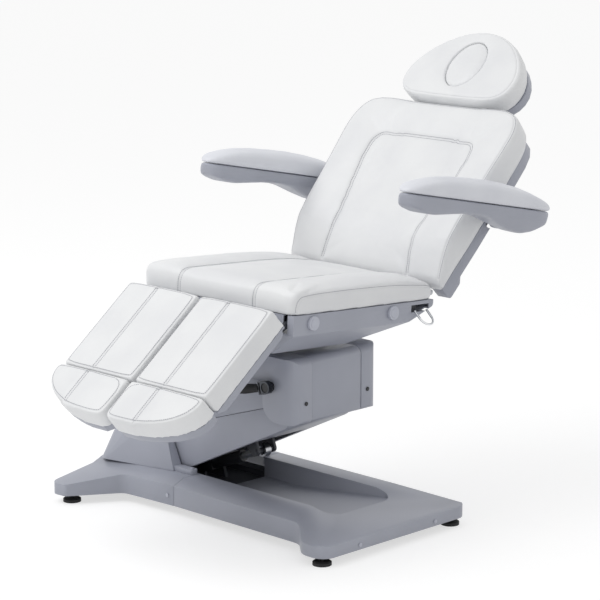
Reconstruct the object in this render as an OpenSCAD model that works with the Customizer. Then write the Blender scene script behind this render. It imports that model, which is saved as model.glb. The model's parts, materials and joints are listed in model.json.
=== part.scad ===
// Electric podiatry chair with a parallel lift arm, a swivelling seat and split leg rests.
// X runs along the base towards its rear, Y towards the head, Z up. All sizes are in millimetres.

/* [Base] */
// Length of the base
base_l = 1004; // [940:1:1060]
// Width across the front feet
front_w = 784; // [720:1:840]
// Width across the rear feet
rear_w = 580; // [540:1:640]
// Width of the base between the feet
hub_w = 460; // [430:1:490]
// Height of the top of the base above the floor
base_h = 100; // [95:1:115]
// Height of the foot ends above the floor
foot_end_h = 58; // [54:1:66]
// Gap between the base covers and the floor
floor_gap = 25; // [20:1:27]
// Width of the sunk tray
tray_w = 256; // [254:1:270]
// Height of the floor of the tray
tray_z = 40; // [38:1:42]
// Wall of the base covers
base_wall = 3; // [2:0.5:3.5]
// Radius of a levelling foot
foot_r = 26; // [20:1:30]
// Height of the column cover above the floor
column_h = 262; // [250:1:266]

/* [Lift arm] */
// Distance between the two arm pivots
arm_len = 500; // [480:1:510]
// Angle of the arm above level in the rest pose
arm_angle = 23.4; // [22:0.1:25]
// Height of the arm pivot in the column
pivot_z = 200; // [196:1:204]
// Width over the arm covers
arm_w = 248; // [236:1:249]
// Width of the arm beam
beam_w = 90; // [80:1:100]
// Height of the arm beam
beam_h = 56; // [50:1:60]
// Wall of the arm covers
arm_wall = 3; // [2:0.5:4]
// Radius of the arm pivot pins
pivot_r = 14; // [12:0.5:16]
// Radius of the link and actuator pins
small_pin_r = 8; // [7:0.5:9]

/* [Head box] */
// Length of the head box
head_l = 411; // [400:1:420]
// Width of the head box
head_w = 342; // [330:1:356]
// Height of the end of the head box
head_h = 183; // [176:1:186]
// Width of the end panel
panel_w = 194; // [170:1:210]
// Wall of the head covers
head_wall = 4; // [3:0.5:5]
// Radius of the swivel bearing
race_r = 118; // [110:1:122]
// Length of the lock lever
lever_l = 150; // [120:1:170]

/* [Seat] */
// Width of the seat
seat_w = 600; // [580:1:620]
// Length of the seat
seat_l = 556; // [546:1:560]
// Thickness of the seat cushion at its edge
seat_t = 68; // [62:1:74]
// Height of the seat cushion's underside above the head box
seat_lift = 136.4; // [134:0.1:146]
// Slope of the seat, its front higher
seat_slope = 3.5; // [3:0.1:4]
// Depth of the skirt under the cushion
skirt_h = 116; // [110:1:117]
// Wall of the moulded shells of the upper chair
shell_wall = 3; // [2:0.5:4]
// Radius of a side cap
cap_r = 19; // [15:1:22]

/* [Back] */
// Angle of the back above level in the rest pose
back_angle = 45; // [43:1:47]
// Length of the back cushion
back_l = 578; // [570:1:584]
// Thickness of the back cushion at its upper end
back_t = 113; // [96:1:118]
// Depth of the back shell
back_shell_h = 34; // [32:1:40]
// Length of an armrest
armrest_l = 612; // [590:1:630]
// Width of an armrest
armrest_w = 100; // [90:1:110]
// Distance of an armrest from the middle of the chair
armrest_x = 390; // [380:1:400]
// Height of an armrest's tip above the underside of the back cushion
armrest_h = 426.5; // [420:0.5:434]

/* [Headrest] */
// Width of the headrest
headrest_w = 434; // [410:1:450]
// Length of the headrest
headrest_l = 258; // [240:1:270]
// Thickness of the headrest cushion
headrest_t = 71; // [62:1:80]
// Length of the oval face plug
plug_l = 168; // [150:1:176]
// Width of the oval face plug
plug_w = 126; // [110:1:134]

/* [Leg rests] */
// Slope of the leg rests below level in the rest pose
leg_angle = 38.2; // [36:0.1:40]
// Length of a leg cushion
leg_l = 312; // [290:1:330]
// Thickness of a leg cushion
leg_t = 60; // [54:1:64]
// Gap between the two leg rests
leg_gap = 12; // [10:1:20]
// Length of a foot pad
footpad_l = 130; // [118:1:150]
// Thickness of a foot pad
footpad_t = 60; // [52:1:64]
// Depth of the leg and foot shells
leg_shell_h = 20; // [18:1:24]

/* [Hidden] */

$fn = 48;
cut = 2;            // overrun of every cut
fit = 0.05;         // radial clearance of a pin in its bore
gap = 0.3;          // gap between pieces that meet on different bodies
seam = 1;           // width of a seam between two covers
plastic = [0.60, 0.61, 0.65];
dark = [0.13, 0.13, 0.14];
steel = [0.45, 0.46, 0.48];
leather = [0.93, 0.93, 0.94];
chrome = [0.80, 0.81, 0.83];

// Rounded outlines. A point is [x, y] or [x, y, radius], and an outline runs counter-clockwise.
function unit(v) = v / norm(v);
function xy(p) = [p[0], p[1]];
function rad(p) = p[2] == undef ? 0 : p[2];
edge_share = 0.49;
function corner(a, b, c, n) =
    rad(b) <= 0 ? [xy(b)] :
    let (u = unit(xy(a) - xy(b)), v = unit(xy(c) - xy(b)), half = acos(u * v) / 2,
         reach = min(rad(b) / tan(half), norm(xy(a) - xy(b)) * edge_share, norm(xy(c) - xy(b)) * edge_share),
         r = reach * tan(half), m = xy(b) + unit(u + v) * r / sin(half),
         d0 = (xy(b) + u * reach - m) / r, d1 = (xy(b) + v * reach - m) / r, w = acos(d0 * d1))
    [for (i = [0:n]) m + r * (sin((1 - i / n) * w) * d0 + sin(i / n * w) * d1) / sin(w)];
function soften(p, n = 6) =
    let (k = len(p)) [for (i = [0:k - 1]) each corner(p[(i + k - 1) % k], p[i], p[(i + 1) % k], n)];
function left_of(a, b) = let (e = unit(xy(b) - xy(a))) [-e[1], e[0]];
function shrink(p, d) =
    let (k = len(p))
    [for (i = [0:k - 1]) let (n1 = left_of(p[(i + k - 1) % k], p[i]), n2 = left_of(p[i], p[(i + 1) % k]),
        q = xy(p[i]) + d * (n1 + n2) / (1 + n1 * n2), turn = n1[0] * n2[1] - n1[1] * n2[0])
        [q[0], q[1], rad(p[i]) <= 0 ? 0 : max(rad(p[i]) - (turn > 0 ? d : -d), 0)]];
function flip_y(p) = [for (i = [len(p) - 1:-1:0]) [p[i][0], -p[i][1], rad(p[i])]];

// Solids from outlines: a plan raised along Z, a side profile in X and Z, a chair profile in Y and Z
module plan(p, z0, z1) { translate([0, 0, z0]) linear_extrude(z1 - z0) polygon(soften(p)); }
module side_slab(p, half) { rotate([90, 0, 0]) linear_extrude(2 * half, center = true) polygon(soften(p)); }
module chair_slab(p, x0, x1) {
    translate([x0, 0, 0]) rotate([90, 0, 90]) linear_extrude(x1 - x0) polygon(soften(p));
}
module block(a, b) { translate(a) cube(b - a); }
module bar_x(r, x0, x1) { translate([x0, 0, 0]) rotate([0, 90, 0]) cylinder(r = r, h = x1 - x0); }
module bar_y(r, y0, y1) { translate([0, y1, 0]) rotate([90, 0, 0]) cylinder(r = r, h = y1 - y0); }
module both_y() { children(); mirror([0, 1, 0]) children(); }
module both_x() { children(); mirror([1, 0, 0]) children(); }

// Lofted pads. A ring lies at the distance s along the pad; x runs across it and z out of its face.
function drop(e, r) = r <= 0 || e >= r ? 0 : r - sqrt(max(r * r - (r - e) * (r - e), 0));
top_shares = [-1, -0.86, -0.7, -0.52, -0.34, -0.16, 0, 0.16, 0.34, 0.52, 0.7, 0.86, 1];
side_low_share = 0.3;
side_high_share = 0.62;
rim_angles = [0, 30, 60];
function sorted(v) = len(v) < 2 ? v :
    let (m = v[floor(len(v) / 2)]) concat(sorted([for (a = v) if (a < m) a]), [for (a = v) if (a == m) a],
        sorted([for (a = v) if (a > m) a]));
function groove(x, seams, w, d) = max(concat([0], [for (q = seams) d * max(0, 1 - abs(x - q) / w)]));
// The sides lean in by tucks at the underside; rise lists how far the face lies over its edge
function pad_ring(s, x0, x1, t, r, tucks, rise, seams, w, d) =
    let (mid = (x0 + x1) / 2, a = (x1 - x0) / 2, q = min(r, t * side_high_share, a * side_high_share),
         inner = sorted(concat([for (k = top_shares) mid + k * (a - q)], [for (m = seams) each [m - w, m, m + w]])))
    concat([[x0 + tucks[0], s, 0], [x0 + tucks[0] * side_low_share, s, t * side_low_share]],
        [for (g = rim_angles) [x0 + q - q * cos(g), s, t - q + q * sin(g)]],
        [for (x = inner) [x, s, t + lookup((x - mid) / (a - q), rise) - groove(x, seams, w, d)]],
        [for (i = [len(rim_angles) - 1:-1:0]) let (g = rim_angles[i])
            [x1 - q + q * cos(g), s, t - q + q * sin(g)]],
        [[x1 - tucks[1] * side_low_share, s, t * side_low_share], [x1 - tucks[1], s, 0]]);
pillow = [[-1, 0], [-0.7, 0.6], [-0.34, 0.9], [0, 1], [0.34, 0.9], [0.7, 0.6], [1, 0]];
function scaled(table, f) = [for (p = table) [p[0], p[1] * f]];
module loft(rings) {
    n = len(rings);
    m = len(rings[0]);
    polyhedron(points = [for (r = rings) each r],
        faces = concat([[for (j = [0:m - 1]) j]], [[for (j = [m - 1:-1:0]) (n - 1) * m + j]],
            [for (i = [0:n - 2]) for (j = [0:m - 1])
                each [[i * m + j, (i + 1) * m + (j + 1) % m, i * m + (j + 1) % m],
                      [i * m + j, (i + 1) * m + j, (i + 1) * m + (j + 1) % m]]]));
}

// Base
front_x = -base_l / 2;
rear_x = base_l / 2;
cover_step = 352;
cover_seam_x = front_x + cover_step;
seat_side = seat_w / 2;
hub_half = hub_w / 2;
hub_step = 38;
hub_top_half = hub_half - hub_step;
hub_step2 = 16;
hub_side_h = base_h - hub_step2;
tray_half = tray_w / 2;
tray_step = 128;
tray_end_x = rear_x - tray_step;
tray_step2 = 140;
tray_ramp_x = cover_seam_x + tray_step2;
tray_nose = 105;
tail_step = 202;
tail_x = rear_x - tail_step;
front_toe = 60;
arm_half = arm_w / 2;
pivot_step = 172;
pivot_x = front_x + pivot_step;
front_half = [[front_x, -front_w / 2, 24], [front_x + front_toe, -front_w / 2 + 6, 16],
    [front_x + 152, -hub_half - 12, 40], [cover_seam_x - seam / 2, -hub_half, 0]];
rear_half = [[cover_seam_x + seam / 2, -hub_half, 0], [rear_x - 150, -hub_half, 60],
    [rear_x - 82, -rear_w / 2, 60], [rear_x, -rear_w / 2, 40]];
tray_plan = [[cover_seam_x - seam, -tray_half], [tray_end_x - tray_nose, -tray_half],
    [tray_end_x, -tray_half, tray_nose], [tray_end_x, tray_half, tray_nose],
    [tray_end_x - tray_nose, tray_half], [cover_seam_x - seam, tray_half]];
function base_section(d) = [[-front_w / 2 + d, floor_gap - (d > 0 ? cut : 0)],
    [front_w / 2 - d, floor_gap - (d > 0 ? cut : 0)], [front_w / 2 - d, foot_end_h - d],
    [hub_half - d, hub_side_h - d], [hub_top_half - d, base_h - d], [-hub_top_half + d, base_h - d],
    [-hub_half + d, hub_side_h - d], [-front_w / 2 + d, foot_end_h - d]];
function rear_section(d) = [[-rear_w / 2 + d, floor_gap - (d > 0 ? cut : 0)],
    [rear_w / 2 - d, floor_gap - (d > 0 ? cut : 0)], [rear_w / 2 - d, foot_end_h - d],
    [hub_half - d, hub_side_h - d], [hub_top_half - d, base_h - d], [-hub_top_half + d, base_h - d],
    [-hub_half + d, hub_side_h - d], [-rear_w / 2 + d, foot_end_h - d]];
module base_form(half_plan, section, d) {
    intersection() {
        plan(shrink(concat(half_plan, flip_y(half_plan)), d), floor_gap - cut, base_h + cut);
        translate([front_x - cut, 0, 0]) rotate([90, 0, 90])
            linear_extrude(base_l + 2 * cut) polygon(section);
    }
}
module front_well() {
    block([pivot_x - 76, -tray_half, floor_gap - cut], [cover_seam_x + cut, tray_half, base_h + cut]);
}
mouth_x = 8;
module seam_mouth() {
    block([cover_seam_x - mouth_x, -hub_half + 2 * base_wall, floor_gap - cut],
        [cover_seam_x + mouth_x, hub_half - 2 * base_wall, hub_side_h - 2 * base_wall]);
}
module front_cover() {
    color(plastic) difference() {
        base_form(front_half, base_section(0), 0);
        base_form(front_half, base_section(base_wall), base_wall);
        front_well();
        seam_mouth();
    }
}
module tail_form(d) {
    side_slab([[cover_seam_x - cut, floor_gap - 2 * cut], [rear_x + cut, floor_gap - 2 * cut],
        [rear_x + cut, foot_end_h - d], [rear_x, foot_end_h - d], [tail_x, base_h - d],
        [cover_seam_x - cut, base_h - d]], rear_w / 2 + cut);
}
module tray_form(d) {
    intersection() {
        plan(shrink(tray_plan, -d), tray_z - base_wall - cut, base_h + 2 * cut);
        side_slab([[cover_seam_x - 2 * cut - d, tray_z - d], [tray_ramp_x, tray_z - d],
            [tray_end_x + d, base_h - 18 - d], [tray_end_x + d, base_h + cut],
            [cover_seam_x - 2 * cut - d, base_h + cut]], tray_half + 2 * cut);
    }
}
module rear_cover() {
    color(plastic) difference() {
        intersection() { base_form(rear_half, rear_section(0), 0); tail_form(0); }
        difference() {
            union() {
                intersection() { base_form(rear_half, rear_section(base_wall), base_wall); tail_form(base_wall); }
                seam_mouth();
            }
            tray_form(base_wall);
        }
        tray_form(0);
    }
}

// Steel frame under the covers
rail_step = 3;
rail_z0 = floor_gap + rail_step;
rail_h = 20;
rail_y = 165;
rail_half = 20;
pan_t = 3;
post_y0 = 64;
post_t = 10;
post_y1 = post_y0 + post_t;
sled_step = 42;
toe_x = front_x + sled_step;
sled_step2 = 46;
toe_y = front_w / 2 - sled_step2;
sled_step3 = 30;
heel_x = rear_x - sled_step3;
heel_y = rear_w / 2 - sled_step3;
sled_x = 90;
sled_x2 = 40;
sled_y = 8;
sled_x3 = 8;
sled_z = 2;
sled_x4 = 78;
sled_x5 = 80;
module base_frame() {
    color(steel) difference() {
        union() {
            both_y() block([pivot_x - sled_x, rail_y - rail_half, rail_z0], [heel_x, rail_y + rail_half,
                rail_z0 + rail_h]);
            both_y() plan([[toe_x - rail_half, toe_y + rail_half], [toe_x - rail_half, rail_y - rail_half],
                [toe_x + 2 * rail_half + sled_x2, rail_y - rail_half], [toe_x + rail_half, toe_y + rail_half]],
                rail_z0, rail_z0 + rail_h);
            block([heel_x - rail_half, -heel_y - rail_half + sled_y, rail_z0],
                [heel_x + rail_half - sled_x3, heel_y + rail_half - sled_y, rail_z0 + rail_h - sled_z]);
            block([toe_x - rail_half, -rail_y, rail_z0], [pivot_x - sled_x4, rail_y, rail_z0 + rail_h]);
            block([pivot_x - sled_x5, -rail_y, rail_z0], [cover_seam_x - cut, rail_y, rail_z0 + pan_t]);
            lift_foot_ears();
        }
        for (p = foot_points) translate([p[0], p[1], rail_z0 - cut])
            cylinder(r = stud_r + fit, h = rail_h + 2 * cut);
        translate([lift_pin[0], 0, lift_pin[1]]) bar_y(small_pin_r + fit, -post_y1, post_y1);
    }
}
module column_posts() {
    color(steel) difference() {
        union() {
            both_y() translate([0, (post_y0 + post_y1) / 2, 0])
                side_slab([[pivot_x - 66, rail_z0 + pan_t], [pivot_x + 84, rail_z0 + pan_t],
                    [link_pin[0] + 26, link_pin[1] - 10, 20], [pivot_x + 34, pivot_z + 34, 30],
                    [pivot_x - 34, pivot_z + 34, 30]], post_t / 2);
            block([pivot_x - 62, -post_y0 - cut, rail_z0 + pan_t],
                [pivot_x - 54, post_y0 + cut, pivot_z - 20]);
        }
        translate([pivot_x, 0, pivot_z]) bar_y(pivot_r + fit, -post_y1 - cut, post_y1 + cut);
        translate([link_pin[0], 0, link_pin[1]]) bar_y(small_pin_r + fit, -post_y1 - cut, post_y1 + cut);
    }
}

// Column cover
column_shares = [[0, 1], [0.45, 0.84], [1, 0.66]];
column_front_w = 448;
column_rear_w = 330;
column_top_w = 282;
hood_x = 8;
hood_z = 280;
column_foot_x = [front_x + hood_x, front_x + hood_z];
hood_step = 74;
column_waist_z = base_h + hood_step;
hood_x2 = 14;
hood_z2 = 240;
column_waist_x = [front_x + hood_x2, front_x + hood_z2];
hood_x3 = 102;
hood_z3 = 202;
column_top_x = [front_x + hood_x3, front_x + hood_z3];
hood_round = 30;
module column_slab(z, x, w_front, w_rear, d, thin) {
    plan([[x[0] + d, -w_front / 2 + d, hood_round], [x[1] - d, -w_rear / 2 + d], [x[1] - d, w_rear / 2 - d],
        [x[0] + d, w_front / 2 - d, hood_round]], z, z + thin);
}
hood_step2 = 1;
hood_step3 = 90;
hood_step4 = 30;
hood_step5 = 6;
module column_form(d) {
    hull() {
        column_slab(base_h + gap - (d > 0 ? cut : 0), column_foot_x, column_front_w, column_rear_w, d, hood_step2);
        column_slab(column_waist_z, column_waist_x, column_front_w - hood_step3, column_rear_w - hood_step4, d,
            hood_step2);
        column_slab(column_h - hood_step2 - d, column_top_x, column_top_w, column_top_w - hood_step5, d, hood_step2);
    }
}
hood_x4 = 76;
hood_y = 34;
hood_x5 = 3;
hood_round2 = 10;
hood_y2 = 6;
hood_y3 = 8;
hood_x6 = 20;
hood_y4 = 5;
hood_x7 = 62;
hood_y5 = 12;
hood_z4 = 2;
hood_y6 = 16;
hood_z5 = 150;
module column_cover() {
    color(plastic) both_y() plan([[cover_seam_x - hood_x4, -arm_half - hood_y], [cover_seam_x - hood_x5,
        -arm_half - hood_y, hood_round2],
        [cover_seam_x - hood_x5, -arm_half - hood_y2, hood_round2], [cover_seam_x - hood_x4, -arm_half - hood_y3]],
            base_h + gap, base_h + lug_h);
    color(plastic) difference() {
        column_form(0);
        column_form(base_wall);
        block([pivot_x - hood_x6, -arm_half - hood_y4, base_h - cut], [rear_x, arm_half + hood_y4, column_h + cut]);
        for (i = [0:rib_count - 1]) both_y() translate([column_foot_x[1] - hood_x7 - i * rib_step,
            column_rear_w / 2 + hood_y5, 0])
            rotate([16, -22, -6]) translate([0, 0, base_h + hood_z4]) cube([rib_w, hood_y6, hood_z5]);
    }
}
lug_h = 14;
rib_count = 2;
rib_step = 34;
rib_w = 14;

// Pins, feet and small pieces of the base
link_x = 20;
link_z = 70;
link_pin = [pivot_x + link_x, pivot_z - link_z];
ram_x = 30;
ram_z = 31;
lift_pin = [pivot_x + ram_x, rail_z0 + pan_t + ram_z];
stud_r = 6;
foot_t = 12;
stud_x = 8;
stud_z = 4;
foot_points = [[toe_x, toe_y], [toe_x, -toe_y], [heel_x - stud_x, heel_y - stud_z], [heel_x - stud_x,
    -heel_y + stud_z]];
ear_y0 = 12;
ear_t = 8;
module lift_foot_ears() {
    both_y() translate([0, ear_y0 + ear_t / 2, 0])
        side_slab([[lift_pin[0] - 22, rail_z0], [lift_pin[0] + 22, rail_z0],
            [lift_pin[0] + 14, lift_pin[1] + 14, 12], [lift_pin[0] - 14, lift_pin[1] + 14, 12]], ear_t / 2);
}
module base_pivot_pins() {
    color(chrome) {
        translate([pivot_x, 0, pivot_z]) bar_y(pivot_r, -post_y1 - 4, post_y1 + 4);
        translate([link_pin[0], 0, link_pin[1]]) bar_y(small_pin_r, -post_y1 - 4, post_y1 + 4);
        translate([lift_pin[0], 0, lift_pin[1]]) bar_y(small_pin_r, -ear_y0 - ear_t - 3, ear_y0 + ear_t + 3);
    }
}
module levelling_feet() {
    color(dark) for (p = foot_points) translate([p[0], p[1], 0]) {
        cylinder(r = foot_r, h = foot_t * 0.7);
        translate([0, 0, foot_t * 0.7]) cylinder(r1 = foot_r, r2 = foot_r * 0.8, h = foot_t * 0.3);
        cylinder(r = stud_r, h = rail_z0 + rail_h);
    }
}
screw_r = 6;
screw_t = 2.5;
module base_screws() {
    color(plastic) {
        both_y() translate([cover_seam_x - 24, hub_half + 1.8, floor_gap + 28]) bar_y(screw_r, 0, screw_t);
        for (y = [-150, 150]) translate([rear_x + gap, y, floor_gap + 14]) bar_x(screw_r, 0, screw_t);
        both_y() translate([cover_seam_x - 17, arm_half + 20, base_h + lug_h + gap]) cylinder(r = screw_r, h = screw_t);
    }
}
inlet_w = 48;
inlet_h = 28;
module mains_inlet() {
    color(dark) difference() {
        block([front_x - 3, -inlet_w / 2, floor_gap + 6], [front_x - gap, inlet_w / 2, floor_gap + 6 + inlet_h]);
        block([front_x - 3 - cut, -inlet_w / 2 + 8, floor_gap + 12],
            [front_x - 1.5, inlet_w / 2 - 8, floor_gap + inlet_h]);
    }
}

// Lift arm. Its own frame has u along the arm from the column pivot and v square to it.
module on_arm() { translate([pivot_x, 0, pivot_z]) rotate([0, -arm_angle, 0]) children(); }
function arm_point(u, v) =
    [pivot_x + u * cos(arm_angle) - v * sin(arm_angle), pivot_z + u * sin(arm_angle) + v * cos(arm_angle)];
head_pin = arm_point(arm_len, 0);
link_head_pin = head_pin + link_pin - [pivot_x, pivot_z];
eye_r = beam_h / 2;
eye_step = 2;
eye_half = post_y0 - eye_step;
lug_z = 150;
lug = [arm_len * 0.55, -lug_z];
link_half = 20;
strap_step = 8;
strap_y0 = link_half + strap_step;
strap_t = 8;
cover_u0 = 29;
cover_step2 = 48;
cover_u1 = arm_len + cover_step2;
arm_x = 2;
arm_z = 139;
arm_round = 14;
arm_z2 = 120;
arm_round2 = 40;
arm_z3 = 26;
arm_round3 = 30;
arm_x2 = 40;
arm_z4 = 48;
arm_x3 = 20;
arm_z5 = 54;
arm_round4 = 24;
arm_outline = [[cover_u0 - arm_x, -arm_z, arm_round], [cover_u1, -arm_z2, arm_round2], [cover_u1, arm_z3, arm_round3],
    [cover_u1 - arm_x2, arm_z4, arm_round3],
    [cover_u0 + arm_x3, arm_z5, arm_round4]];
split_rise = -0.1;
split_v = -2;
module arm_split(upper) {
    side_slab(upper ? [[0, split_v + seam], [2 * arm_len, split_v + seam + 2 * arm_len * split_rise],
                       [2 * arm_len, arm_len], [0, arm_len]]
                    : [[0, -arm_len], [2 * arm_len, -arm_len],
                       [2 * arm_len, split_v + 2 * arm_len * split_rise], [0, split_v]], arm_half + cut);
}
module lift_arm() {
    color(steel) on_arm() difference() {
        union() {
            block([eye_r - 6, -beam_w / 2, -beam_h / 2 + 2], [arm_len - eye_r + 6, beam_w / 2, beam_h / 2 - 2]);
            for (u = [0, arm_len]) translate([u, 0, 0]) bar_y(eye_r, -eye_half, eye_half);
            both_y() translate([0, strap_y0 + strap_t / 2, 0])
                side_slab([[lug[0] - 70, -beam_h / 2 + 4], [lug[0] - 14, lug[1] - 12, 12],
                    [lug[0] + 14, lug[1] - 12, 12], [lug[0] + 20, -beam_h / 2 + 4]], strap_t / 2);
            translate([lug[0], 0, lug[1]]) bar_y(small_pin_r, -strap_y0 - strap_t - 3, strap_y0 + strap_t + 3);
        }
        block([eye_r + 20, -beam_w / 2 + 5, -beam_h / 2 + 7], [arm_len - eye_r - 20, beam_w / 2 - 5, beam_h / 2 - 7]);
        for (u = [0, arm_len]) translate([u, 0, 0]) bar_y(pivot_r + fit, -eye_half - cut, eye_half + cut);
    }
}
skin_z = 170;
skin_x = 30;
skin_z2 = 46;
skin_y = 100;
skin_x2 = 330;
skin_z3 = 100;
skin_x3 = 110;
skin_z4 = 30;
skin_z5 = 80;
module arm_skin() {
    difference() {
        side_slab(arm_outline, arm_half);
        side_slab(shrink(arm_outline, arm_wall), arm_half - arm_wall);
        block([0, -arm_half + arm_wall, -skin_z], [cover_u0 + skin_x, arm_half - arm_wall, skin_z2]);
        block([cover_u0, -skin_y, -skin_z], [cover_u0 + skin_x2, skin_y, -skin_z3]);
        block([arm_len - skin_x3, -skin_y, -skin_z4], [cover_u1 + cut, skin_y, skin_z5]);
    }
}
module arm_lower_cover() { color(plastic) on_arm() intersection() { arm_skin(); arm_split(false); } }
module arm_upper_cover() { color(plastic) on_arm() intersection() { arm_skin(); arm_split(true); } }
module parallel_link() {
    color(dark) translate([link_pin[0], 0, link_pin[1]]) rotate([0, -arm_angle, 0]) difference() {
        union() {
            block([0, -link_half, -12], [arm_len, link_half, 12]);
            for (u = [0, arm_len]) translate([u, 0, 0]) bar_y(17, -link_half, link_half);
        }
        for (u = [0, arm_len]) translate([u, 0, 0]) bar_y(small_pin_r + fit, -link_half - cut, link_half + cut);
        block([30, -link_half - cut, -7], [arm_len - 30, -4, 7]);
        block([30, 4, -7], [arm_len - 30, link_half + cut, 7]);
    }
}

// Lift actuator, from its foot pin to the lug under the arm
lug_point = arm_point(lug[0], lug[1]);
lift_run = lug_point - lift_pin;
lift_len = norm(lift_run);
lift_slope = atan2(lift_run[1], lift_run[0]);
tube_r = 17;
rod_r = 10;
module on_lift() { translate([lift_pin[0], 0, lift_pin[1]]) rotate([0, -lift_slope, 0]) children(); }
module lift_motor() {
    color(dark) on_lift() difference() {
        union() {
            bar_y(13, -ear_y0 + 1, ear_y0 - 1);
            block([0, -ear_y0 + 1, -10], [30, ear_y0 - 1, 10]);
            block([26, -tube_r - 2, -tube_r], [84, tube_r + 22, tube_r]);
            bar_x(tube_r, 80, lift_len * 0.7);
            translate([0, tube_r + 6, 0]) bar_x(tube_r - 2, 80, 150);
        }
        bar_y(small_pin_r + fit, -ear_y0, ear_y0);
        bar_x(rod_r + fit, lift_len * 0.35, lift_len);
    }
}
rod_eye_r = 19;
loose = 5;
module lift_rod() {
    color(chrome) on_lift() difference() {
        union() {
            bar_x(rod_r, lift_len * 0.5, lift_len - rod_eye_r + 3);
            translate([lift_len, 0, 0]) bar_y(rod_eye_r, -ear_y0 + 1, ear_y0 - 1);
        }
        translate([lift_len, 0, 0]) bar_y(small_pin_r + loose, -ear_y0, ear_y0);
    }
}

// Head box, which stays level
swivel_step = 64.5;
swivel_x = head_pin[0] - swivel_step;
head_x0 = swivel_x - head_l / 2;
head_x1 = swivel_x + head_l / 2;
head_step = 106;
head_top = head_pin[1] + head_step;
head_low = head_top - head_h;
seat_z = head_top + seat_lift;
head_half = head_w / 2;
band_step = 66;
band_z = head_top - band_step;
chin_step = 22;
chin_x = head_pin[0] + chin_step;
head_round = 14;
head_round2 = 26;
head_round3 = 20;
head_round4 = 10;
head_z = 8;
head_round5 = 12;
head_round6 = 52;
head_outline = [[head_x1, head_low, head_round], [head_x1, head_top, head_round2], [head_x0, head_top, head_round3],
    [head_x0, band_z, head_round4], [chin_x, band_z - head_z, head_round5], [chin_x, head_low, head_round6]];
deck_step = 32;
deck_z = head_top - deck_step;
deck_t = 12;
mouth_step = 8;
mouth_half = arm_half + mouth_step;
deck_step2 = 12;
deck_half = head_half - head_wall - deck_step2;
spigot_r = 60;
head_round7 = 8;
head_round8 = 42;
head_round9 = 4;
head_round10 = 38;
head_x2 = 20;
head_x3 = 36;
head_z2 = 40;
head_x4 = 60;
head_r = 3;
module head_skin() {
    difference() {
        intersection() {
            side_slab(head_outline, head_half);
            plan([[head_x0 - cut, -head_half, head_round7], [head_x1, -head_half, head_round8], [head_x1, head_half,
                head_round8],
                [head_x0 - cut, head_half, head_round7]], head_low - cut, head_top + cut);
        }
        intersection() {
            side_slab(shrink(head_outline, head_wall), head_half - head_wall);
            plan([[head_x0 - cut, -head_half + head_wall, head_round9], [head_x1 - head_wall, -head_half + head_wall,
                head_round10],
                [head_x1 - head_wall, head_half - head_wall, head_round10], [head_x0 - cut, head_half - head_wall,
                head_round9]],
                head_low - cut, head_top + cut);
        }
        block([chin_x + head_x2, -mouth_half, head_low - cut], [head_x1 - head_x3, mouth_half, head_low + head_z2]);
        block([head_x0 - cut, -mouth_half, head_low - cut], [chin_x + head_x4, mouth_half, deck_z - deck_t]);
        translate([swivel_x, 0, head_top - 2 * head_wall]) cylinder(r = race_r + head_r, h = 4 * head_wall);
    }
}
module head_side() {
    difference() {
        head_skin();
        block([swivel_x, -panel_w / 2 - seam / 2, 0], [head_x1 + cut, head_half + cut, head_top + cut]);
        block([head_x0 - cut, -seam / 2, 0], [head_x1 + cut, head_half + cut, head_top + cut]);
    }
}
module head_cover_near() { color(plastic) head_side(); }
module head_cover_far() { color(plastic) mirror([0, 1, 0]) head_side(); }
panel_x = 1;
module head_end_panel() {
    color(plastic) intersection() {
        head_skin();
        block([swivel_x + race_r / 2, -panel_w / 2 + seam / 2, 0], [head_x1 - panel_x, panel_w / 2 - seam / 2,
            head_top + cut]);
    }
}
screw_step = 50;
head_screw_y = head_half - screw_step;
screw_step2 = 58;
head_screw_z = head_low + screw_step2;
module head_screws() {
    color(dark) for (y = [-head_screw_y, head_screw_y]) translate([head_x1 + gap, y, head_screw_z])
        bar_x(screw_r, 0, screw_t);
}
module head_frame() {
    color(steel) difference() {
        union() {
            plan([[head_x0 + 20, -deck_half, 20], [head_x1 - head_wall - 10, -deck_half, 40],
                [head_x1 - head_wall - 10, deck_half, 40], [head_x0 + 20, deck_half, 20]], deck_z - deck_t, deck_z);
            for (x = [head_x0 + 60, head_x1 - 90])
                block([x, -head_half + head_wall + gap, deck_z - deck_t], [x + 30, head_half - head_wall - gap,
                deck_z]);
            block([head_x1 - 60, -30, deck_z - deck_t], [head_x1 - head_wall - gap, 30, deck_z]);
            both_y() translate([0, (post_y0 + post_y1) / 2, 0])
                side_slab([[link_head_pin[0] - 20, link_head_pin[1] - 18, 18],
                    [link_head_pin[0] + 20, link_head_pin[1] - 18, 18], [head_pin[0] + 60, deck_z - deck_t],
                    [head_pin[0] - 60, deck_z - deck_t]], post_t / 2);
        }
        translate([head_pin[0], 0, head_pin[1]]) bar_y(pivot_r + fit, -post_y1 - cut, post_y1 + cut);
        translate([link_head_pin[0], 0, link_head_pin[1]]) bar_y(small_pin_r + fit, -post_y1 - cut, post_y1 + cut);
        translate([swivel_x, 0, deck_z - deck_t - cut]) cylinder(r = spigot_r + 4, h = deck_t + 2 * cut);
    }
}
module head_pivot_pins() {
    color(chrome) {
        translate([head_pin[0], 0, head_pin[1]]) bar_y(pivot_r, -post_y1 - 4, post_y1 + 4);
        translate([link_head_pin[0], 0, link_head_pin[1]]) bar_y(small_pin_r, -post_y1 - 4, post_y1 + 4);
    }
}
race_step = 1;
race_top = head_top - race_step;
module bearing_race() {
    color(steel) translate([swivel_x, 0, deck_z + gap]) difference() {
        cylinder(r = race_r, h = race_top - deck_z - gap);
        translate([0, 0, -cut]) cylinder(r = spigot_r + fit, h = race_top - deck_z + 2 * cut);
    }
}

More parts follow.
